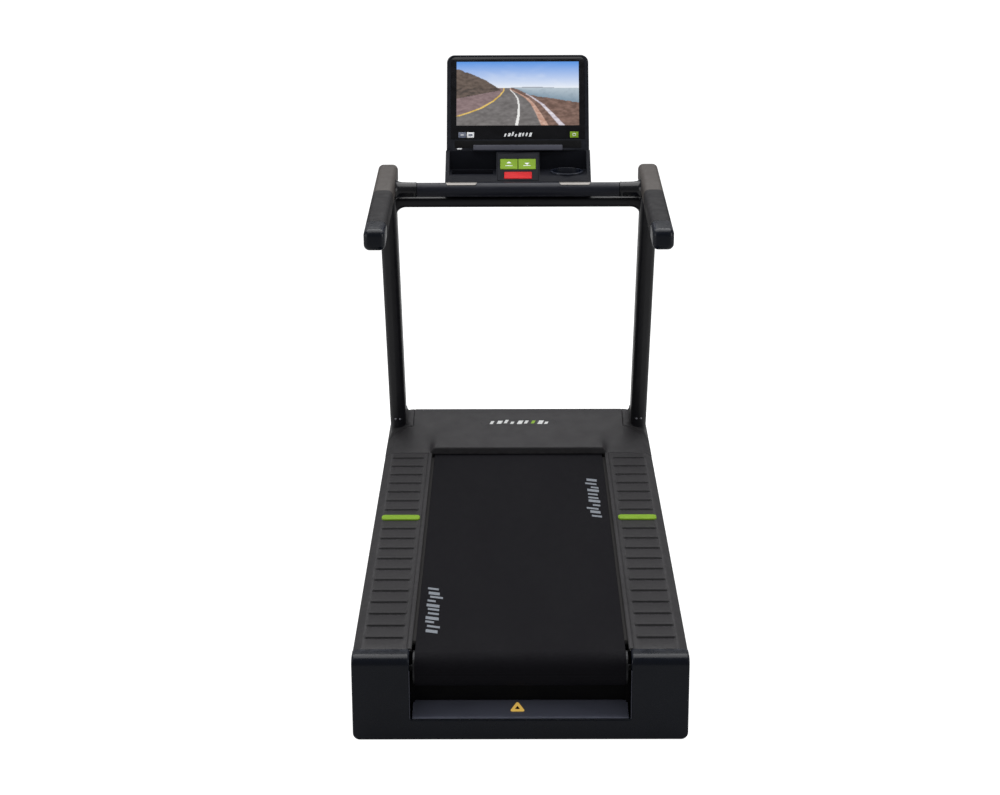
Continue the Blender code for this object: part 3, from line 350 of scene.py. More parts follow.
def finish_piece(name, shape, paint, body="base", replaces=(), matrix=None, angle=35):
    """Turn a bmesh, or rings to loft, into a shown piece that rides on a body and stands for CAD nodes."""
    bm = shape if isinstance(shape, bmesh.types.BMesh) else loft(shape)
    if matrix is not None:
        bmesh.ops.transform(bm, matrix=matrix, verts=bm.verts)
    bmesh.ops.recalc_face_normals(bm, faces=bm.faces)
    mesh = bpy.data.meshes.new(name)
    bm.to_mesh(mesh)
    bm.free()
    mesh.materials.append(MATERIALS[paint])
    mesh.shade_smooth()
    mesh.set_sharp_from_angle(angle=math.radians(angle))
    piece = bpy.data.objects.new(name, mesh)
    bpy.context.scene.collection.objects.link(piece)
    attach(piece, body)
    if replaces:
        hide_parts(*replaces)
    return piece


def add_loft(bm, rings, closed=False):
    """Join rings of equal point counts; the ends are capped unless the loft is closed."""
    rows = [[bm.verts.new(point) for point in ring] for ring in rings]
    pairs = list(zip(rows, rows[1:]))
    if closed:
        pairs.append((rows[-1], rows[0]))
    for near, far in pairs:
        for i in range(len(near)):
            j = (i + 1) % len(near)
            bm.faces.new((near[i], near[j], far[j], far[i]))
    if not closed:
        bm.faces.new(rows[0])
        bm.faces.new(rows[-1])
    return bm


def loft(rings, closed=False):
    return add_loft(bmesh.new(), rings, closed)


def arc(cx, cy, radius, start, end, steps):
    """Points on an arc, angles in degrees."""
    angles = [math.radians(start + (end - start) * i / steps) for i in range(steps + 1)]
    return [(cx + radius * math.cos(a), cy + radius * math.sin(a)) for a in angles]


def rounded(half_x, half_y, radius, steps=6, cx=0.0, cy=0.0):
    """A rounded rectangle's outline."""
    x, y = half_x - radius, half_y - radius
    outline = []
    for quarter, (sx, sy) in enumerate(((1, 1), (-1, 1), (-1, -1), (1, -1))):
        outline += arc(cx + sx * x, cy + sy * y, radius, 90 * quarter, 90 * quarter + 90, steps)
    return outline


def rolled(low, high, low_roll, high_roll, steps=4):
    """(position, inset) pairs along a piece whose two ends are rolled in by quarter circles."""
    turns = [math.pi / 2 * i / steps for i in range(steps + 1)]
    start = [(low + low_roll * (1 - math.sin(a)), low_roll * (1 - math.cos(a))) for a in reversed(turns)]
    return start + [(high - high_roll * (1 - math.sin(a)), high_roll * (1 - math.cos(a))) for a in turns]


def plate_rings(low, high, corner, edge=0.0008):
    """Rings of a flat rounded plate from its lowest to its highest corner, with softened edges."""
    cx, cy = (low[0] + high[0]) / 2, (low[1] + high[1]) / 2
    hx, hy = (high[0] - low[0]) / 2, (high[1] - low[1]) / 2
    return [[(x, y, z) for x, y in rounded(hx - inset, hy - inset, max(corner - inset, 1e-4), 6, cx, cy)]
            for z, inset in rolled(low[2], high[2], edge, edge, 3)]


def turned(profile, axis, centre, steps=48, closed=False):
    """(position on the axis, radius) pairs turned round a line through the centre."""
    rings = []
    for level, radius in profile:
        ring = []
        for i in range(steps):
            a = 2 * math.pi * i / steps
            u, v = radius * math.cos(a), radius * math.sin(a)
            point = {"X": (level, u, v), "Y": (v, level, u), "Z": (u, v, level)}[axis]
            ring.append(Vector(centre) + Vector(point))
        rings.append(ring)
    return loft(rings, closed)


def smooth_step(t):
    t = min(max(t, 0.0), 1.0)
    return t * t * (3 - 2 * t)


def inside_distance(dx, dy, half_x, half_y, corner):
    """How far a point lies inside a rounded rectangle; negative outside it."""
    qx, qy = abs(dx) - (half_x - corner), abs(dy) - (half_y - corner)
    return corner - math.hypot(max(qx, 0.0), max(qy, 0.0)) - min(max(qx, qy), 0.0)


def steps_between(low, high, size):
    """Evenly spaced positions from low to high, no further apart than size."""
    count = max(1, math.ceil((high - low) / size - 1e-6))
    return [low + (high - low) * i / count for i in range(count + 1)]


def merged(*lists):
    """Sorted positions from several lists, without near duplicates."""
    result = []
    for value in sorted(v for values in lists for v in values):
        if not result or value - result[-1] > 1e-5:
            result.append(value)
    return result


def slope_matrix(foot, tilt):
    """From a tilted panel's own frame (Y up the slope, Z out of it) to the row frame."""
    return Matrix.Translation((0, *foot)) @ Matrix.Rotation(tilt, 4, "X")


def refined(node, paint, bevel, segments=2):
    """A CAD shape with every hard edge rounded, standing for its node."""
    bm = bmesh.new()
    bm.from_mesh(nodes[node].data)
    bmesh.ops.remove_doubles(bm, verts=bm.verts, dist=1e-6)
    bmesh.ops.dissolve_limit(bm, angle_limit=math.radians(1), verts=bm.verts, edges=bm.edges)
    hard = [e for e in bm.edges if len(e.link_faces) == 2 and e.calc_face_angle() > math.radians(35)]
    bmesh.ops.bevel(bm, geom=hard, offset=bevel, segments=segments, profile=0.5, affect="EDGES",
                    clamp_overlap=True)
    return finish_piece(f"{node}_finish", bm, paint, replaces=(node,))


def side_pair():
    return (("left", -1), ("right", 1))


def middle_and_half(node):
    """The middle of a node's box, and half of its size."""
    low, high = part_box(node)
    return [(a + b) / 2 for a, b in zip(low, high)], [(b - a) / 2 for a, b in zip(low, high)]


def side_plates(label, near, far, paint="gap_black", edge=0.0005):
    """A small plate on each side of the machine, between its corners nearest to the middle and farthest; by
    default a near-black plate of painted shade.
    """
    for side, sign in side_pair():
        x0, x1 = sorted((sign * near[0], sign * far[0]))
        rings = plate_rings((x0, *near[1:]), (x1, *far[1:]), 0.001, edge)
        finish_piece(f"{label}_{side}", rings, paint)


# ---- Side rails ----

def rib_centres():
    low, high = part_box("rail_marker_left")
    marker_y = (low.y + high.y) / 2
    return [marker_y + (i - MARKER_INDEX) * RIB_PITCH for i in range(RIB_COUNT) if i != MARKER_INDEX]


def rib_height(x, dy):
    """Height of a foot rib above the rail, dy from its middle: steep behind, sloping down in front."""
    side = min(max(min(x - RIB_INNER_X, RIB_OUTER_X - x) / RIB_CORNER, 0.0), 1.0)
    bend = RIB_CORNER * (1 - math.sqrt(1 - (1 - side) ** 2))
    depth = dy + RIB_DEPTH / 2 - bend
    slope = 1 - max(depth - RIB_FLANK, 0.0) / (RIB_DEPTH - RIB_FLANK)
    if -GROOVE_WIDTH < depth < 0.0 and side > 0:
        return -GROOVE_DEPTH * smooth_step(side * 2) * math.sin(math.pi * -depth / GROOVE_WIDTH)
    return RIB_HEIGHT * smooth_step(side * 2) * smooth_step(depth / RIB_FLANK) * max(slope, 0.0) ** 0.8


def bead_height(x, inner_x):
    """The raised bead along the belt's edge, with a fine groove where it meets the rail."""
    across = (x - inner_x) / BEAD_WIDTH
    if across < 1:
        return 0.0022 * math.sin(math.pi * min(max(across, 0.0), 1.0)) ** 0.6
    return -0.001 * max(0.0, 1 - abs(x - inner_x - BEAD_WIDTH - 0.0012) / 0.0012)


def build_rails():
    centres = rib_centres()
    flank = [-GROOVE_WIDTH, -0.0034, -0.0023, -0.0012]
    flank += [RIB_FLANK * t for t in (0.0, 0.2, 0.4, 0.6, 0.8, 1.0)]
    crown = [0.0036, 0.005, 0.008, 0.0125, 0.018, 0.0235, RIB_DEPTH]
    ends = [0.0, 0.0012, 0.0025, 0.004, 0.006, 0.008, RIB_CORNER]
    for side, sign in side_pair():
        low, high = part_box(f"side_rail_{side}")
        inner_x, outer_x = min(abs(low.x), abs(high.x)), max(abs(low.x), abs(high.x))
        top_z, bottom_z = high.z - RIB_HEIGHT, low.z
        width, drop = RAIL_CHAMFER
        ys = [low.y, low.y + 0.0008, low.y + 0.002, high.y - 0.002, high.y - 0.0008, high.y]
        for c in centres:
            ys += [c - RIB_DEPTH / 2 + f for f in flank + crown]
        rib_xs = ([RIB_INNER_X + f for f in ends] + [RIB_OUTER_X - f for f in ends]
                  + steps_between(RIB_INNER_X + RIB_CORNER, RIB_OUTER_X - RIB_CORNER, 0.022))
        bead_xs = [inner_x + BEAD_WIDTH * t for t in (0.0, 0.06, 0.2, 0.4, 0.6, 0.8, 0.94, 1.0)]
        xs = merged(bead_xs, [inner_x + BEAD_WIDTH + f for f in (0.0012, 0.0024)], rib_xs)
        shoulder = (arc(outer_x - 0.004, top_z - drop - 0.0035, 0.004, 0, 58, 4)
                    + [(outer_x - width + 0.004, top_z - 0.0019), (outer_x - width + 0.001, top_z - 0.0006),
                       (outer_x - width - 0.002, top_z)])
        wall, lip = RAIL_WALL, top_z - 0.0072
        under = [(inner_x, lip), (inner_x + wall, lip), (inner_x + wall, top_z - wall),
                 (outer_x - width, top_z - wall), (outer_x - 0.006, top_z - drop - 0.001),
                 (outer_x - wall, top_z - drop - 0.006), (outer_x - wall, bottom_z)]
        rings = []
        for y in merged(ys):
            end = min(y - low.y, high.y - y)
            rolled_edge = 0.0009 * max(0.0, 1 - end / 0.002) ** 2
            ring = [(outer_x, bottom_z), (outer_x, bottom_z + 0.08)]
            ring += [(x, z - rolled_edge) for x, z in shoulder]
            near = min(centres, key=lambda c: abs(c - y))
            ring += [(x, top_z + rib_height(x, y - near) + bead_height(x, inner_x) - rolled_edge)
                     for x in reversed(xs)]
            ring += under
            rings.append([(sign * x, y, z) for x, z in ring])
        finish_piece(f"rail_cover_{side}", rings, "cover", replaces=(f"side_rail_{side}",), angle=42)


def build_markers():
    for side, _ in side_pair():
        low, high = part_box(f"rail_marker_{side}")
        (cx, cy, _), (half_x, half_y, _) = middle_and_half(f"rail_marker_{side}")
        rings = []
        for z, inset in rolled(low.z, high.z, 0.0004, 0.003, 6):
            outline = rounded(half_x - inset, half_y - inset, MARKER_CORNER - inset, 8, cx, cy)
            rings.append([(x, y, z) for x, y in outline])
        finish_piece(f"foot_marker_{side}", rings, "marker", replaces=(f"rail_marker_{side}",))


# ---- Hood and corner covers ----

def crest_profile():
    """(y, z) down the middle of the hood, from the end of its straight slope to its foot."""
    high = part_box("motor_hood")[1]
    guide = [(HOOD_SLOPE_END[0] - 0.035, HOOD_SLOPE_END[1] - 0.01), HOOD_SLOPE_END, *HOOD_CREST,
             (high.y, HOOD_NOSE_Z), (high.y, 0.19)]
    points = []
    for i in range(1, len(guide) - 2):
        a, b, c, d = (Vector(guide[i + k]) for k in (-1, 0, 1, 2))
        for k in range(5):
            t = k / 5
            points.append(0.5 * (2 * b + (c - a) * t + (2 * a - 5 * b + 4 * c - d) * t * t
                                 + (3 * b - a - 3 * c + d) * t ** 3))
    points.append(Vector(guide[-2]))
    return [(min(p.x, high.y), p.y) for p in points]


def seam_dip(x, y):
    """The moulded edges on both sides of a corner cover's seam are rolled down."""
    x = abs(x)
    across = abs(x - CORNER_X) if y > CORNER_Y else math.hypot(min(x - CORNER_X, 0.0), y - CORNER_Y)
    along = abs(y - CORNER_Y) if x > CORNER_X else math.hypot(x - CORNER_X, min(y - CORNER_Y, 0.0))
    return 0.0015 * max(0.0, 1 - (min(across, along) - SEAM) / 0.0024) ** 2


def ear_height(x, y):
    """The corner cover's concave fillet round the upright's inner and front sides."""
    low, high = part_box("upright_right")
    beside = max(low.x - abs(x), abs(x) - high.x + 0.012, 0.0)
    far = min(math.hypot(beside, max(y - EAR_FRONT_Y, 0.0)) / EAR_REACH, 1.0)
    return EAR_HEIGHT * (1 - math.sqrt(1 - (1 - far) ** 2)) * smooth_step((y - CORNER_Y - 0.003) / 0.016)


def hood_height(x, y, profile_z, half, slope_start):
    """Height of the hood's surface at one point, from the height of its middle line there."""
    side = min(max((half - abs(x)) / SWELL_WIDTH, 0.0), 1.0)
    swell = 0.7 * math.sin(math.pi / 2 * side) + 0.3 * smooth_step(side)
    swell = 1 - (1 - swell) ** (1 + smooth_step((y - 0.79) / 0.1))
    width, drop = RAIL_CHAMFER
    chamfer = drop * min(max((abs(x) - (half - width)) / width, 0.0), 1.0)
    if y < HOOD_SLOPE_END[0]:
        t = (y - slope_start) / (HOOD_SLOPE_END[0] - slope_start)
        over_belt = smooth_step((0.31 + 0.06 * t - abs(x)) / (0.016 + 0.12 * t))
        start = RAIL_TOP_Z + HOOD_LIP * over_belt
        end = RAIL_TOP_Z + (HOOD_SLOPE_END[1] - RAIL_TOP_Z) * swell
        z = start + (end - start) * t
    else:
        z = profile_z - max(profile_z - RAIL_TOP_Z, 0.0) * (1 - swell)
    return z - chamfer - seam_dip(x, y) + ear_height(x, y)


def emblem_dip(x, y):
    depth = inside_distance(x, y - EMBLEM_Y, *EMBLEM_HALF, EMBLEM_HALF[1] - 0.001)
    return EMBLEM_DEPTH * smooth_step((depth + 0.0005) / 0.0018)


def seam_lines(middle):
    """Grid lines on both sides of a seam, for its gap and its rolled edges."""
    return [middle + d * s for d in (SEAM, 0.0014, 0.0024, 0.0036) for s in (-1, 1)]


def hood_columns(half):
    """X of the hood's grid lines, closer together at the emblem, the lip's ends, the seams and the ears."""
    upright_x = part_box("upright_right")[0].x
    edge_x = EMBLEM_HALF[0]
    right = merged(seam_lines(CORNER_X), steps_between(0, edge_x - 0.026, 0.018),
                   steps_between(edge_x - 0.026, edge_x + 0.002, 0.002),
                   steps_between(0.15, 0.286, 0.02), steps_between(0.292, 0.312, 0.002),
                   steps_between(0.318, CORNER_X - 0.006, 0.009),
                   steps_between(CORNER_X + 0.005, upright_x, 0.0021),
                   steps_between(upright_x + 0.003, upright_x + 0.01, 0.002),
                   steps_between(upright_x + 0.016, half - 0.03, 0.007),
                   [half - f for f in (0.028, 0.026, 0.023, 0.018, 0.012, 0.006, 0.0035, 0.0018, 0.0006, 0)])
    return merged(right, [-x for x in right])


def hood_stations(low, high):
    """(y, height of the middle line, drop of the lip's edge) from the lip to the hood's front foot.

    The height is None on the straight slope, where hood_height works it out.
    """
    rear_y = low.y
    lip = ((0.0, -0.0225), (0.0, -0.006), (0.0006, -0.0028), (0.002, -0.0008), (0.0035, 0.0))
    slope_ys = merged(steps_between(rear_y + 0.006, EMBLEM_Y - 0.03, 0.018), seam_lines(CORNER_Y),
                      steps_between(EMBLEM_Y - 0.024, EMBLEM_Y + 0.024, 0.0018))
    stations = [(rear_y + dy, None, dip) for dy, dip in lip]
    stations += [(y, None, 0.0) for y in slope_ys if y > rear_y + 0.005]
    stations += [(y, z, 0.0) for y, z in crest_profile()]
    return stations + [(high.y, z, 0.0) for z in (0.16, 0.09, low.z)]


def build_hood():
    low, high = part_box("motor_hood")
    half, bottom_z, rear_y = high.x, low.z, low.y
    stations, xs = hood_stations(low, high), hood_columns(half)
    grid = []
    for y, z, dip in stations:
        plan = 1.0
        if y > high.y - HOOD_BEND:
            plan -= (HOOD_BEND - math.sqrt(max(HOOD_BEND ** 2 - (y - high.y + HOOD_BEND) ** 2, 0.0))) / half
        row = []
        for x in xs:
            height = hood_height(x, y, z, half, rear_y) - emblem_dip(x, y)
            if z is not None and z <= RAIL_TOP_Z:
                height = min(z, height)
            row.append((x * plan, y, max(height + dip, bottom_z)))
        skirt_z = max(row[0][2] - 0.003, bottom_z)
        grid.append([(-half * plan, y, bottom_z), (-half * plan, y, skirt_z)] + row
                    + [(half * plan, y, skirt_z), (half * plan, y, bottom_z)])
    all_x = [-half, -half] + xs + [half, half]

    def cover_of(i, j):
        """Which moulded cover a grid cell belongs to."""
        x = (all_x[j] + all_x[j + 1]) / 2
        y = (stations[i][0] + stations[i + 1][0]) / 2
        if abs(x) < CORNER_X - SEAM or y < CORNER_Y - SEAM:
            return "hood"
        if abs(x) > CORNER_X + SEAM and y > CORNER_Y + SEAM:
            return "left" if x < 0 else "right"
        return "gap"

    for label, name, node in (("hood", "hood_cover", "motor_hood"),
                              ("left", "corner_cover_left", "hood_corner_left"),
                              ("right", "corner_cover_right", "hood_corner_right")):
        bm = bmesh.new()
        verts = {}
        for i in range(len(grid) - 1):
            for j in range(len(all_x) - 1):
                if cover_of(i, j) != label:
                    continue
                ring = []
                for a, b in ((i, j), (i, j + 1), (i + 1, j + 1), (i + 1, j)):
                    if (a, b) not in verts:
                        verts[(a, b)] = bm.verts.new(grid[a][b])
                    ring.append(verts[(a, b)])
                bm.faces.new(ring)
        bmesh.ops.remove_doubles(bm, verts=bm.verts, dist=1e-5)
        bmesh.ops.dissolve_degenerate(bm, dist=1e-6, edges=bm.edges)
        thicken(bm, COVER_WALL)
        finish_piece(name, bm, "cover", replaces=(node,), angle=40)
    # The seam backing and the belt gap closers are near-black plates of painted shade, behind the corner seam
    # and in the gaps beside the belt where only shade falls.
    side_plates("seam_backing", (half - 0.0075, CORNER_Y - 0.008, bottom_z + 0.004),
                (half - 0.0045, CORNER_Y + 0.008, 0.222))
    side_plates("belt_gap_closer", (0.2945, rear_y - 0.017, 0.2235), (0.319, rear_y + 0.019, 0.2265))


def thicken(bm, wall):
    """Give an open skin an inner side, so that it is one closed thin shell."""
    bmesh.ops.recalc_face_normals(bm, faces=bm.faces)
    top = max(bm.faces, key=lambda f: f.calc_center_median().z)
    if top.normal.z < 0:
        bmesh.ops.reverse_faces(bm, faces=bm.faces)
    bm.normal_update()
    inner = {v: bm.verts.new(v.co - v.normal * wall) for v in list(bm.verts)}
    faces = list(bm.faces)
    rim = [e for e in bm.edges if e.is_boundary]
    for face in faces:
        bm.faces.new([inner[v] for v in reversed(face.verts)])
    for edge in rim:
        a, b = edge.verts
        bm.faces.new((a, b, inner[b], inner[a]))


def hood_surface_z(y):
    """Height of the hood's straight slope on its middle line, for what is fixed to it."""
    low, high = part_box("motor_hood")
    return hood_height(0, y, None, high.x, low.y)


def strokes(name, place, length, height, count, paint, accent=None):
    """A generic decorative mark: slanted strokes of different heights along a line."""
    bm, accent_bm = bmesh.new(), bmesh.new()
    pitch = length / count
    for i in range(count):
        reach = 0.62 + 0.38 * abs(math.sin(i * 1.9 + 0.6))
        foot = -height / 2 * (0.55 + 0.45 * abs(math.cos(i * 2.3)))
        top = foot + height * reach * 0.92
        x0 = -length / 2 + pitch * i
        x1 = x0 + pitch * (0.46 + 0.22 * (i % 3 == 1))
        corners = [(x + 0.32 * y, y) for x, y in ((x0, foot), (x1, foot), (x1, top), (x0, top))]
        target = accent_bm if accent and i == count - 3 else bm
        add_loft(target, [[place @ Vector((x, y, z)) for x, y in corners] for z in (0.0, 0.00015)])
    finish_piece(name, bm, paint)
    if accent:
        finish_piece(f"{name}_accent", accent_bm, accent)
    else:
        accent_bm.free()


def build_emblem():
    slope = math.atan2(hood_surface_z(EMBLEM_Y + 0.01) - hood_surface_z(EMBLEM_Y - 0.01), 0.02)
    place = slope_matrix((EMBLEM_Y, hood_surface_z(EMBLEM_Y) - EMBLEM_DEPTH), slope)
    shift = Matrix.Translation((0.011, 0.004, 0.0001))
    strokes("emblem_mark", place @ shift, 0.218, 0.026, 9, "ink_bright", "marker")


# ---- Running belt, rear cap and ramp ----

def build_belt():
    low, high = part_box("running_belt")
    radius = (high.z - low.z) / 2
    middle_z = (high.z + low.z) / 2
    rear_y, front_y = low.y + radius, high.y - radius
    thickness, edge, runs = 0.0025, 0.0009, 24
    reach = front_y - rear_y
    path = arc(rear_y, middle_z, radius, 270, 90, 36)
    path += [(rear_y + reach * i / runs, middle_z + radius) for i in range(1, runs)]
    path += arc(front_y, middle_z, radius, 90, -90, 36)
    path += [(front_y - reach * i / runs, middle_z - radius) for i in range(1, runs)]
    section = ((low.x, edge), (low.x + edge, 0.0), (0.0, 0.0), (high.x - edge, 0.0), (high.x, edge),
               (high.x, thickness), (0.0, thickness), (low.x, thickness))
    rings = []
    for i, (y, z) in enumerate(path):
        run = (Vector(path[(i + 1) % len(path)]) - Vector(path[i - 1])).normalized()
        rings.append([(x, y + run.y * depth, z - run.x * depth) for x, depth in section])
    finish_piece("belt_surface", loft(rings, closed=True), "belt", replaces=("running_belt",))
    for name, x, y0, y1, turn in BELT_MARKS:
        place = Matrix.Translation((x, (y0 + y1) / 2, high.z + 0.00005)) @ Matrix.Rotation(turn, 4, "Z")
        strokes(name, place, y1 - y0, 0.042, 11, "ink_silver")


def cap_outline(box, grow, drop):
    """The rear cap's U-shaped (x, z) outline; grow below 0 moves it inwards, drop lowers its top."""
    low, high = box
    half = high.x + grow
    bottom, top = low.z - grow, high.z + grow - drop
    opening, sill = 0.307 - grow, 0.063 + grow
    foot, shoulder, nook = 0.02 + grow, 0.008 + grow, 0.008 - grow
    right = (arc(half - foot, bottom + foot, foot, 270, 360, 10)
             + [(half, bottom + (top - bottom) * t) for t in (0.35, 0.65)]
             + arc(half - shoulder, top - shoulder, shoulder, 0, 90, 8)
             + arc(opening + shoulder, top - shoulder, shoulder, 90, 180, 8)
             + [(opening, sill + (top - sill) * t) for t in (0.65, 0.35)]
             + arc(opening - nook, sill + nook, nook, 0, -90, 6))
    return right + [(-x, z) for x, z in reversed(right)]


def build_rear_cap():
    low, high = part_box("rear_cap")
    box = (low - Vector((0, 0, CAP_SKIRT)), high)
    front_y, rear_y = high.y, low.y
    roll, edge, wall, steps = 0.028, 0.0055, 0.004, 14
    rings = [(front_y, 0.0012, -0.0012), (front_y - 0.0004, 0.0, -0.0004), (front_y - 0.0014, 0.0, 0.0),
             (rear_y + roll + 0.01, 0.0, 0.0)]
    for i in range(steps + 1):
        a = math.pi / 2 * i / steps
        y = rear_y + roll * (1 - math.sin(a))
        inset = max(0.0, edge - math.sqrt(max(edge ** 2 - max(rear_y + edge - y, 0.0) ** 2, 0.0)))
        rings.append((y, roll * (1 - math.cos(a)) - inset, -inset))
    inner = [(rear_y + wall, roll - wall, -wall - 0.002), (rear_y + wall + 0.01, 0.01, -wall),
             (rear_y + roll, 0.001, -wall), (front_y, 0.0, -wall)]
    outer = [[(x, y, z) for x, z in cap_outline(box, grow, drop)] for y, drop, grow in rings]
    hollow = [[(x, y, z) for x, z in cap_outline(box, grow, drop)] for y, drop, grow in inner]
    finish_piece("rear_cover", outer[::-1] + hollow[::-1], "rear_cap", replaces=("rear_cap",),
                 angle=50)
    # The tail cheeks, the deck ends and the tail baffle below are near-black plates of painted shade, put in
    # the gaps at the tail where only shade falls.
    side_plates("tail_cheek", (0.2945, front_y + 0.0012, 0.045), (0.31, front_y + 0.0042, 0.2425))
    side_plates("deck_end", (0.2912, DECK_END_Y, 0.1), (0.3068, DECK_END_Y + 0.003, 0.239))
    # Thin grey strips of painted highlight along the inner edges of the cap's opening.
    side_plates("painted_rim_highlight", (0.3062, rear_y - 0.0002, 0.066), (0.3086, rear_y + 0.004, 0.21), "rack",
                edge=0.0006)
    baffle = plate_rings((-0.315, DECK_END_Y + 0.002, 0.105), (0.315, DECK_END_Y + 0.005, 0.144), 0.001,
                         0.0005)
    finish_piece("tail_baffle", baffle, "gap_black")


def build_ramp():
    low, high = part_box("rear_ramp")
    steps = 12
    foot_z, crest_z = low.z, low.z + (high.y - low.y) * 0.36 + 0.004
    top = [(low.y + 0.0008, foot_z + 0.003)]
    for i in range(steps):
        t = i / steps
        top.append((low.y + 0.002 + (high.y - 0.006 - low.y) * t,
                    foot_z + 0.004 + (crest_z - foot_z - 0.004) * t ** 1.12))
    outline = ([(low.y, foot_z), (low.y, foot_z + 0.002)] + top
               + [(high.y - 0.0045, crest_z), (high.y - 0.001, crest_z), (high.y - 0.001, crest_z - 0.006),
                  (low.y + 0.01, foot_z)])
    rings = [[(x, y, z - inset * (z > foot_z + 0.001)) for y, z in outline]
             for x, inset in rolled(low.x - 0.002, high.x + 0.002, 0.001, 0.001, 3)]
    finish_piece("ramp_plate", rings, "ramp", replaces=("rear_ramp",))
    # The riser is near-black: the painted shadow under the belt's rear end, above the lit ramp plate.
    riser = plate_rings((low.x, high.y - 0.0042, crest_z - 0.003), (high.x, high.y, high.z), 0.0012, 0.0006)
    finish_piece("ramp_riser", riser, "gap_black")
    rise = 0.03
    place = slope_matrix((low.y + rise + 0.002, foot_z + 0.0062 + rise * 0.36), math.atan(0.4))
    place = place @ Matrix.Translation((-0.008, 0, 0))
    for name, size, lift, paint in (("slope_sign", 0.0215, 0.0, "amber_ink_painted_glow"),
                                    ("slope_sign_dot", 0.007, 0.0002, "ink_black")):
        corners = []
        for degrees in (90, 210, 330):
            a = math.radians(degrees)
            corners += arc(size * 0.8 * math.cos(a), size * 0.8 * math.sin(a), size * 0.2,
                           degrees - 60, degrees + 60, 4)
        rings = [[place @ Vector((x, y, z + lift)) for x, y in corners] for z in (0.0, 0.0002)]
        finish_piece(name, rings, paint)


# ---- Uprights, handlebars and crossbars ----

def upright_outline(half_x, sign):
    """An upright's horizontal section: the outer half of its rear face falls back towards the side."""
    outline = []
    points = rounded(half_x, UPRIGHT_HALF_Y, 0.015, 8)
    for (x, y), (next_x, next_y) in zip(points, points[1:] + points[:1]):
        outline.append((x, y))
        if abs(y - next_y) < 1e-9 and abs(y) > UPRIGHT_HALF_Y * 0.9:
            edge = 0.0006 if next_x < x else -0.0006
            outline += [(edge, y), (-edge, y)]
    return [(x, y + UPRIGHT_SETBACK * max(x * sign / half_x, 0.0) if y < 0 else y) for x, y in outline]


def build_uprights():
    foot_y, foot_z = UPRIGHT_FOOT
    slope = math.tan(ARM_TILT)
    steps = 12
    for side, sign in side_pair():
        (centre_x, _, _), (half_x, _, _) = middle_and_half(f"upright_{side}")
        top_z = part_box(f"upright_{side}")[1].z - UPRIGHT_HALF_Y * slope / (1 + slope * UPRIGHT_LEAN)
        rings = []
        for k in range(steps + 1):
            z = foot_z + (top_z - foot_z) * k / steps
            rise_slope = slope if k == steps else 0.0
            centre_y = foot_y - (z - foot_z) * UPRIGHT_LEAN
            ring = []
            for x, y in upright_outline(half_x, sign):
                rise = rise_slope * y / (1 + rise_slope * UPRIGHT_LEAN)
                ring.append((centre_x + x, centre_y + y - rise * UPRIGHT_LEAN, z + rise))
            rings.append(ring)
        finish_piece(f"upright_post_{side}", rings, "upright", replaces=(f"upright_{side}",),
                     angle=8)
        back_y = foot_y - (FOOT_SCREW_Z - foot_z) * UPRIGHT_LEAN - UPRIGHT_HALF_Y
        for index, shift in ((1, -0.008), (2, 0.008)):
            setback = UPRIGHT_SETBACK * max(shift * sign, 0.0) / half_x
            head = turned(SCREW_PROFILE, "Y", (centre_x + shift, back_y + setback + 0.0002, FOOT_SCREW_Z), 20)
            finish_piece(f"foot_screw_{side}_{index}", head, "screw")


def arm_ring(centre_x, half_x, inset, y):
    corner = max(0.018 - inset * 0.7, 0.004)
    return [(x, y, z) for x, z in rounded(half_x - inset, ARM_HALF_Z - inset, corner, 9, centre_x)]


def build_arms():
    place = slope_matrix(ARM_END, ARM_TILT)
    cap_end, grip_end, length, gap = 0.11, 0.48, 0.83, 0.0003
    parts = (("cap", "arm_cap", rolled(0.0, cap_end, 0.02, 0.0012, 10), "rear_cap"),
             ("sleeve", "arm_grip", rolled(cap_end + gap, grip_end - gap, 0.0012, 0.0012), "grip"),
             ("body", "arm", rolled(grip_end, length, 0.0012, 0.014, 8), "handlebar"))
    for side, _ in side_pair():
        (centre_x, _, _), (half_x, _, _) = middle_and_half(f"arm_{side}")
        for label, node, stations, paint in parts:
            rings = [arm_ring(centre_x, half_x, inset, y) for y, inset in stations]
            finish_piece(f"arm_{label}_{side}", rings, paint, replaces=(f"{node}_{side}",),
                         matrix=place)


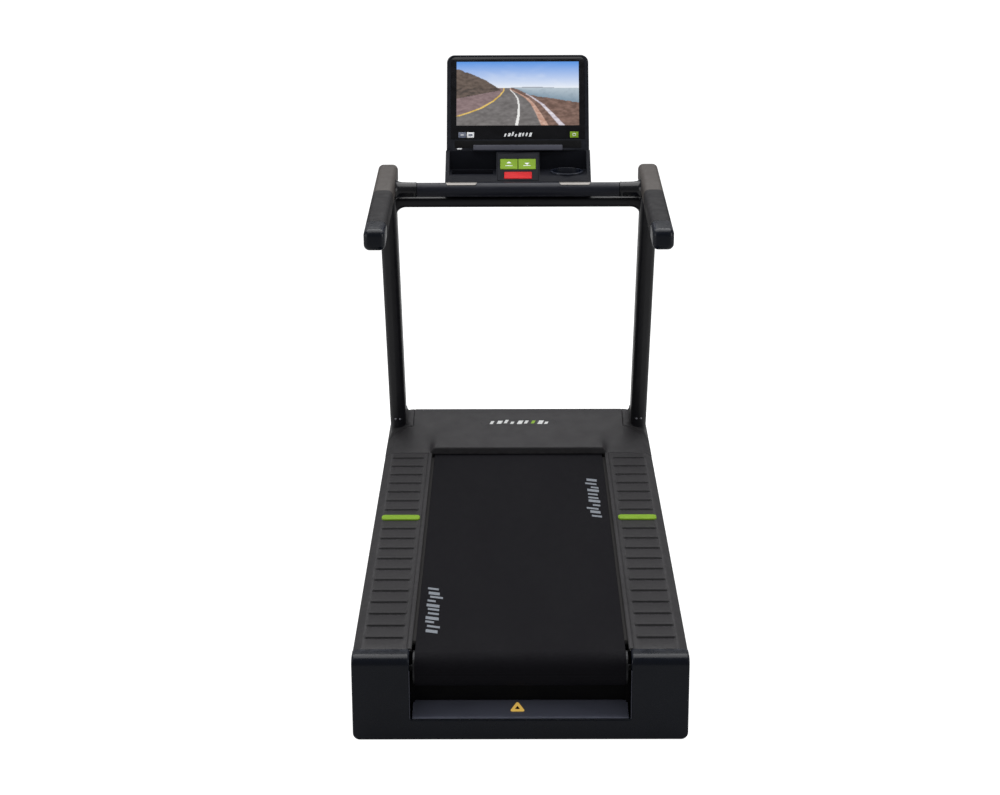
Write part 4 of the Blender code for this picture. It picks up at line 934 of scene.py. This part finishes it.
def build_grip_bar():
    (_, bar_y, bar_z), (seam, _, radius) = middle_and_half("grip_bar")
    centre = (0, bar_y, bar_z)
    profile = [(x, radius - inset) for x, inset in rolled(-seam + 0.0004, seam - 0.0004, 0.001, 0.001, 3)]
    finish_piece("bar_tube", turned(profile, "X", centre, 64), "grip_bar", replaces=("grip_bar",))
    for side, sign in side_pair():
        span = 2 * middle_and_half(f"grip_elbow_{side}")[1][0]
        flare = ((0.0, -0.0012), (0.0004, 0.0002), (0.0012, 0.0012), (0.006, 0.0018), (0.009, 0.001),
                 (0.012, 0.0012), (span * 0.45, 0.0016), (span * 0.7, 0.0022), (span * 0.84, 0.004),
                 (span * 0.94, 0.007), (span, 0.0105))
        profile = [(sign * (seam + x), radius + swell) for x, swell in flare]
        finish_piece(f"bar_elbow_{side}", turned(profile, "X", centre, 64), "elbow",
                     replaces=(f"grip_elbow_{side}",))
        low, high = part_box(f"pulse_plate_{side}")
        (middle, _, _), (half, _, _) = middle_and_half(f"pulse_plate_{side}")
        rings = []
        for x, _ in rolled(low.x, high.x, 0.006, 0.006, 8):
            reach = 50 * math.sqrt(max(1 - (abs(x - middle) / half) ** 8, 0.02))
            outer = arc(bar_y, bar_z, radius + 0.0015, 90 + reach, 90 - reach, 20)
            inner = arc(bar_y, bar_z, radius + 0.0001, 90 - reach, 90 + reach, 20)
            rings.append([(x, y, z) for y, z in outer + inner])
        finish_piece(f"pulse_strip_{side}", rings, "pulse_plate",
                     replaces=(f"pulse_plate_{side}",))


def build_lower_bar():
    """The bar between the uprights; it grows downwards in a curve where it meets them."""
    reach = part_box("console_crossmember")[1].x
    ends = [s * (1 - 0.007 * k) for k in range(12) for s in (-1, 1)]
    rings = []
    for f in merged(steps_between(-0.92, 0.92, 0.06), ends):
        rise = 0.026 * (1 - math.sqrt(max(1 - max(0.0, (abs(f) - 0.923) / 0.077) ** 2, 0.0)))
        outline = rounded(0.021, 0.0167 + rise / 2, 0.013, 8, 0.483, 1.1918 - rise / 2)
        rings.append([(reach * f, y, z) for y, z in outline])
    finish_piece("lower_crossbar", rings, "upright", replaces=("console_crossmember",))


# ---- Console, keys, cup holder ----

def arrow(place, name, tip, body):
    """A raised white triangle over a short bar on a key; tip is 1 for up and -1 for down."""
    bm = bmesh.new()
    head = [(-0.0085, 0.004 - 0.001 * tip), (0.0085, 0.004 - 0.001 * tip), (0.0, 0.004 + 0.0085 * tip)]
    for outline in (head, rounded(0.012, 0.0013, 0.001, 3, 0.0, -0.0085)):
        add_loft(bm, [[place @ Vector((x, y, z)) for x, y in outline] for z in (0.0, 0.0002)])
    finish_piece(name, bm, "ink_white", body)


def build_console():
    refined("console_base", "console", 0.0018, segments=3)
    refined("keypad_panel", "console", 0.0005)
    run, rise = DISPLAY_FOOT[0] - CONSOLE_FOOT[0], DISPLAY_FOOT[1] - CONSOLE_FOOT[1]
    slope = slope_matrix(CONSOLE_FOOT, math.atan2(rise, run))
    for name, x, y, half_x, half_y, paint, tip in KEYS:
        rings = []
        for z, inset in rolled(-0.0035, 0.0025, 0.0004, 0.0016, 6):
            dish = -0.0004 if inset > 0.0015 else 0.0
            outline = rounded(half_x - inset, half_y - inset, 0.0032 - inset * 0.5, 6, x, y)
            rings.append([(px, py, z + dish) for px, py in outline])
        finish_piece(f"{name}_cap", rings, paint, name, (name,), slope)
        if tip:
            arrow(slope @ Matrix.Translation((x, y, 0.00215)), f"{name}_arrow", tip, name)


def build_cup_holder():
    floor, rim = (corner.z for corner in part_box("cup_holder"))
    (x, y, _), (outer, _, _) = middle_and_half("cup_holder")
    neck, foot, wall = outer - 0.0045, outer - 0.016, 0.0025
    profile = ((floor, 0.0005), (floor, foot - 0.004), (floor + 0.0012, foot - 0.001), (floor + 0.004, foot),
               (rim - 0.0075, neck), (rim - 0.006, neck + 0.001), (rim - 0.006, outer - 0.0012),
               (rim - 0.0048, outer), (rim - 0.002, outer), (rim - 0.0006, outer - 0.0009),
               (rim, outer - 0.0025), (rim - 0.0002, neck - wall + 0.0012), (rim - 0.0016, neck - wall),
               (floor + 0.007, foot - wall), (floor + 0.004, foot - wall - 0.003),
               (floor + 0.003, foot - wall - 0.007), (floor + 0.003, 0.0005))
    cup = turned(profile, "Z", (x, y, 0), 72)
    finish_piece("cup_well", cup, "rear_cap", replaces=("cup_holder",))


def build_tray():
    """A rubber mat with thin raised lines in the tray beside the keys."""
    bm = bmesh.new()
    low, high = TRAY_MAT
    add_loft(bm, plate_rings((*low, TRAY_Z + 0.0002), (*high, TRAY_Z + 0.0014), 0.003, 0.0004))
    for i in range(4):
        y = low[1] + 0.0115 + 0.0145 * i
        add_loft(bm, plate_rings((low[0] + 0.008, y, TRAY_Z + 0.0008),
                                 (high[0] - 0.008, y + 0.003, TRAY_Z + 0.0032), 0.0014))
    finish_piece("tray_mat", bm, "rubber")


# ---- Display ----

def display_rings(half, low, high, corner, levels, foot_inset=1.0, corner_inset=0.0):
    """Outlines, square at the foot and rounded at the head, at each (z, inset) level."""
    rings = []
    for z, inset in levels:
        h, foot, head, c = half - inset, low + foot_inset * inset, high - inset, corner - corner_inset * inset
        outline = [(-h, foot), (h, foot)] + arc(h - c, head - c, c, 0, 90, 10)
        outline += arc(c - h, head - c, c, 90, 180, 10)
        rings.append([(x, y, z) for x, y in outline])
    return rings


def read_guide(points, v):
    """Read a guide curve, given as (v, u) pairs, at one height of the picture."""
    for (v0, u0), (v1, u1) in zip(points, points[1:]):
        if v <= v1:
            return u0 + (u1 - u0) * max(0.0, (v - v0) / (v1 - v0))
    return points[-1][1]


def between(a, b, t):
    t = min(max(t, 0.0), 1.0)
    return tuple(p + (q - p) * t for p, q in zip(a, b))


HORIZON = 0.585
YELLOW_LINE = ((0.14, 0.00), (0.2, 0.1), (0.27, 0.2), (0.38, 0.3), (0.47, 0.355), (0.54, 0.385))
WHITE_LINE = ((0.00, 0.49), (0.15, 0.505), (0.3, 0.51), (0.42, 0.5), (0.5, 0.47), (0.55, 0.44))
ROAD_EDGE = ((0.00, 0.72), (0.2, 0.665), (0.35, 0.615), (0.43, 0.57), (0.5, 0.51), (0.56, 0.44))
GUARD_RAIL = ((0.00, 0.86), (0.18, 0.775), (0.33, 0.7), (0.45, 0.61), (0.5, 0.56))


def picture_colour(u, v):
    """A plain coast road under an open sky: u runs from left to right and v from bottom to top."""
    grain = noise.fractal(Vector((u * 26, v * 30, 0.3)), 1.0, 2.0, 4)
    broad = noise.fractal(Vector((u * 6, v * 7, 4.1)), 1.0, 2.0, 3)
    ridge = 0.88 - 0.72 * max(u - 0.02, 0.0) - 1.3 * max(u - 0.12, 0.0) ** 2 + 0.012 * grain
    hill_foot = 0.42 + 0.36 * u
    shore = 0.475 - 0.3 * max(u - 0.6, 0.0) + 0.85 * max(0.6 - u, 0.0) + 0.008 * grain
    if v > HORIZON:
        lift = (v - HORIZON) / (1 - HORIZON)
        sky = between((0.86, 0.9, 0.95), (0.085, 0.29, 0.76), lift ** 0.75)
        sky = between(sky, (0.9, 0.93, 0.97), 0.35 * max(0.0, broad) * (1 - lift))
        far = HORIZON + 0.018 * math.exp(-((u - 0.62) / 0.16) ** 2)
        if v < far and u > 0.36:
            sky = (0.34, 0.37, 0.42)
        if u < 0.36 and v < ridge:
            return between((0.085, 0.06, 0.045), (0.15, 0.11, 0.085), 0.5 + grain)
        return sky
    if u < 0.36 and hill_foot < v < ridge:
        return between((0.06, 0.045, 0.035), (0.14, 0.1, 0.078), 0.45 + grain)
    if u > 0.46 and v > shore:
        offing = (v - shore) / max(HORIZON - shore, 0.01)
        sea = between((0.21, 0.3, 0.38), (0.48, 0.56, 0.62), offing)
        return between(sea, (0.16, 0.22, 0.28), 0.3 * max(0.0, grain))
    near = 1 - v / HORIZON
    rail_u = read_guide(GUARD_RAIL, v)
    if v < 0.5 and abs(u - rail_u) < 0.004 + 0.02 * near:
        return between((0.52, 0.46, 0.52), (0.78, 0.74, 0.8), 0.5 + grain)
    edge_u = read_guide(ROAD_EDGE, v)
    if u > edge_u + 0.004 + 0.026 * near:
        return between((0.125, 0.07, 0.05), (0.25, 0.15, 0.115), 0.45 + 0.8 * grain)
    if abs(u - edge_u) < 0.004 + 0.026 * near:
        return between((0.46, 0.25, 0.18), (0.66, 0.44, 0.35), 0.5 + grain)
    if abs(u - read_guide(WHITE_LINE, v)) < 0.0035 + 0.009 * near:
        return (0.86, 0.85, 0.83)
    yellow_u = read_guide(YELLOW_LINE, v) if v > 0.14 else -1.0
    if abs(u - yellow_u) < 0.004 + 0.02 * near and v > 0.14:
        return between((0.62, 0.4, 0.07), (0.82, 0.58, 0.16), 0.5 + grain)
    if u < yellow_u:
        return between((0.18, 0.12, 0.12), (0.3, 0.215, 0.215), 0.5 + 0.6 * grain)
    return between((0.12, 0.11, 0.105), (0.215, 0.2, 0.195), 0.45 + 0.35 * broad + 0.5 * grain)


def screen_material():
    """A lit picture behind clear glass: its colours lie on the panel's own grid of points."""
    paint = Paint("screen_picture", 0.18, specular=0.3, Emission_Strength=0.92)
    picture = paint.add("ShaderNodeVertexColor", layer_name="picture").outputs["Color"]
    pixels = paint.span(paint.noise(1500.0, 1.0), 0.3, 0.7, 0.0, 0.06)
    shimmer = paint.mix(pixels, picture, (0.3, 0.32, 0.36))
    paint.feed(paint.mix(0.92, shimmer, (0.01, 0.01, 0.012)), "Base Color")
    paint.feed(shimmer, "Emission Color")
    return paint.material


def build_screen(face):
    """The picture panel: a fine grid in front, closed behind."""
    columns, rows = 216, 122
    front_z, back_z = 0.0001, -0.0004
    bm = bmesh.new()
    paint = bm.verts.layers.float_color.new("picture")
    grid = [[] for _ in range(rows + 1)]
    for j, row in enumerate(grid):
        v = j / rows
        y = SCREEN_LOW + (SCREEN_HIGH - SCREEN_LOW) * v
        for i in range(columns + 1):
            u = i / columns
            row.append(bm.verts.new((SCREEN_HALF * (2 * u - 1), y, front_z)))
            row[-1][paint] = (*picture_colour(u, v), 1.0)
    for j in range(rows):
        for i in range(columns):
            bm.faces.new((grid[j][i], grid[j][i + 1], grid[j + 1][i + 1], grid[j + 1][i]))
    outline = grid[0] + [row[-1] for row in grid[1:]] + grid[-1][-2::-1] + [row[0] for row in grid[-2:0:-1]]
    back = [bm.verts.new((v.co.x, v.co.y, back_z)) for v in outline]
    for i in range(len(outline)):
        j = (i + 1) % len(outline)
        bm.faces.new((outline[i], outline[j], back[j], back[i]))
    bm.faces.new(back)
    MATERIALS["screen"] = screen_material()
    finish_piece("screen_panel", bm, "screen", replaces=("display_screen",), matrix=face)


def flat_mark(name, face, x, y, half_x, half_y, paint, z=0.0001, corner=0.0015, slot="bezel_glass"):
    low, high = (x - half_x, y - half_y, z - 0.0002), (x + half_x, y + half_y, z + 0.0002)
    rings = plate_rings(low, high, corner, 0.0001)
    finish_piece(name, rings, paint, matrix=face)


def build_display():
    face = slope_matrix(DISPLAY_FOOT, math.pi / 2 - DISPLAY_TILT)
    shell = display_rings(0.2365, 0.0, 0.335, 0.026, rolled(-0.045, 0.0, 0.012, 0.0035, 6), 0.0, 0.8)
    pocket = display_rings(0.2236, 0.0372, 0.3281, 0.0163, ((0.0, -0.0006), (-0.0004, 0.0), (-0.0013, 0.0)))
    finish_piece("display_shell", shell + pocket, "console", replaces=("display_housing",),
                 matrix=face)
    glass = display_rings(0.223, 0.0378, 0.3275, 0.016, rolled(-0.0012, -0.0001, 0.0002, 0.0006, 3))
    finish_piece("front_glass", glass, "glass", replaces=("display_bezel",), matrix=face)
    build_screen(face)
    rack = refined("reading_rack", "rack", 0.0006)
    rack.data.transform(Matrix.Translation((0, 0, -RACK_DROP)))
    for mark in DISPLAY_MARKS:
        flat_mark(mark[0], face, *mark[1:])
    strokes("display_mark", face @ Matrix.Translation((0.003, 0.0535, 0.0001)), 0.094, 0.015, 8, "ink_white")


# ---- What is under the covers ----

KEPT_NODES = {                    # paint: the CAD nodes that stay, hidden under the covers
    "frame_steel": ("frame_rail_left", "frame_rail_right", "deck_crossmember_front", "deck_crossmember_rear"),
    "roller": ("front_roller", "rear_roller", "rear_shaft"),
    "pulley": ("drive_pulley", "motor_pulley"),
    "motor": ("motor",),
    "deck_board": ("running_deck",),
    "rubber": ("drive_belt", "deck_cushion_front_left", "deck_cushion_front_right", "deck_cushion_rear_left",
               "deck_cushion_rear_right")}


def build_running_gear():
    for side, _ in side_pair():
        wheel, foot = f"transport_wheel_{side}", f"levelling_foot_{side}"
        centre, (_, _, radius) = middle_and_half(wheel)
        tread = []
        for x, inset in rolled(-0.014, 0.014, 0.006, 0.006, 6):
            groove = 0.0012 if abs(abs(x) - 0.004) < 0.0012 else 0.0
            tread.append((x, radius - inset * 0.8 - groove))
        hub = [(0.014, 0.024), (0.0105, 0.0225), (0.01, 0.013), (0.0138, 0.0115), (0.0138, 0.0066)]
        tyre = turned([(-x, r) for x, r in reversed(hub)] + tread + hub, "X", centre, 48, closed=True)
        finish_piece(f"wheel_tyre_{side}", tyre, "rubber", wheel, (wheel,))
        low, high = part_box(foot)
        pad = ((0.0, 0.0225), (0.001, 0.025), (0.003, 0.026), (0.009, 0.0256), (0.012, 0.0235),
               (0.014, 0.019), (0.0165, 0.012), (0.018, 0.01), (0.0245, 0.0098), (0.025, 0.006))
        profile = [(low.z + rise, radius) for rise, radius in pad]
        for i in range(26):
            z = low.z + 0.026 + 0.0024 * i
            profile += [(z, 0.0052), (z + 0.0012, 0.006)]
        x, y, _ = middle_and_half(foot)[0]
        stud = turned(profile + [(high.z, 0.005)], "Z", (x, y, 0), 36)
        finish_piece(f"foot_pad_{side}", stud, "rubber", foot, (foot,))
    for node in ("wheel_fork_left", "wheel_fork_right", "rear_foot_beam", "front_foot_beam", "motor_cradle"):
        refined(node, "frame_steel", 0.001)
    refined("power_inlet", "console", 0.0008)
    for paint, names in KEPT_NODES.items():
        for name in names:
            materials = nodes[name].data.materials
            materials.clear()
            materials.append(MATERIALS[paint])


# ---- Floor, light and camera ----

ROOM_LIGHT = 0.22                 # what the plain room sheds on the object
FLOOR_LIGHT = 0.25                # what the floor sheds on the object
BACKDROP_LIGHT = 1.0              # how bright the plain backdrop looks
CAMERA_PLACE = (-0.0173, -6.6, 2.75)
CAMERA_LENS = 79.2
CAMERA_TURNS = ((0.364, "Z"), (72.5, "X"), (-0.258, "Z"))   # yaw, pitch and roll in degrees


def glow(tree, shed):
    """Full backdrop brightness for the camera, and a weaker one for the light shed on the object."""
    seen = tree.nodes.new("ShaderNodeLightPath").outputs["Is Camera Ray"]
    strength = tree.nodes.new("ShaderNodeMapRange")
    strength.inputs["To Min"].default_value = shed
    strength.inputs["To Max"].default_value = BACKDROP_LIGHT
    tree.links.new(seen, strength.inputs["Value"])
    return strength.outputs["Result"]


def build_stage():
    bm = bmesh.new()
    bmesh.ops.create_circle(bm, cap_ends=True, segments=96, radius=40.0)
    mesh = bpy.data.meshes.new("studio_floor")
    bm.to_mesh(mesh)
    bm.free()
    floor = bpy.data.objects.new("studio_floor", mesh)
    bpy.context.scene.collection.objects.link(floor)
    paint = Paint("floor_paint", 0.9, Emission_Color=(1.0, 1.0, 1.0, 1.0))
    paint.feed(glow(paint.tree, FLOOR_LIGHT), "Emission Strength")
    cloud = paint.span(paint.noise(1.2, 3.0), 0.3, 0.7)
    paint.feed(paint.mix(cloud, (0.24, 0.24, 0.24), (0.26, 0.26, 0.26)), "Base Color")
    mesh.materials.append(paint.material)


def add_area(name, location, target, size, energy):
    light = bpy.data.lights.new(name, "AREA")
    light.shape = "RECTANGLE"
    light.size, light.size_y = size
    light.energy = energy
    lamp = bpy.data.objects.new(name, light)
    lamp.location = location
    lamp.rotation_euler = (Vector(target) - Vector(location)).to_track_quat("-Z", "Y").to_euler()
    bpy.context.scene.collection.objects.link(lamp)


def build_light():
    world = bpy.data.worlds.new("studio")
    world.use_nodes = True
    tree = world.node_tree
    background = tree.nodes["Background"]
    background.inputs["Color"].default_value = (1.0, 1.0, 1.0, 1.0)
    tree.links.new(glow(tree, ROOM_LIGHT), background.inputs["Strength"])
    bpy.context.scene.world = world
    bpy.context.scene.view_settings.view_transform = "Standard"
    add_area("overhead_softbox", (0.0, 1.6, 4.6), (0.0, 0.9, 0.2), (6.0, 6.0), 330)
    for side, sign in side_pair():
        add_area(f"side_softbox_{side}", (sign * 4.6, -1.6, 1.7), (0.0, -0.2, 0.7), (1.6, 2.6), 40)


def build_camera():
    camera = bpy.data.objects.new("photo_camera", bpy.data.cameras.new("photo_camera"))
    camera.data.lens = CAMERA_LENS
    camera.data.sensor_width = 36.0
    camera.location = CAMERA_PLACE
    turn = Matrix.Identity(3)
    for degrees, axis in CAMERA_TURNS:
        turn = turn @ Matrix.Rotation(math.radians(degrees), 3, axis)
    camera.rotation_euler = turn.to_euler()
    bpy.context.scene.collection.objects.link(camera)
    bpy.context.scene.camera = camera


build_camera()
build_light()
build_stage()
build_rails()
build_markers()
build_hood()
build_emblem()
build_belt()
build_rear_cap()
build_ramp()
build_uprights()
build_arms()
build_grip_bar()
build_lower_bar()
build_console()
build_cup_holder()
build_tray()
build_display()
build_running_gear()
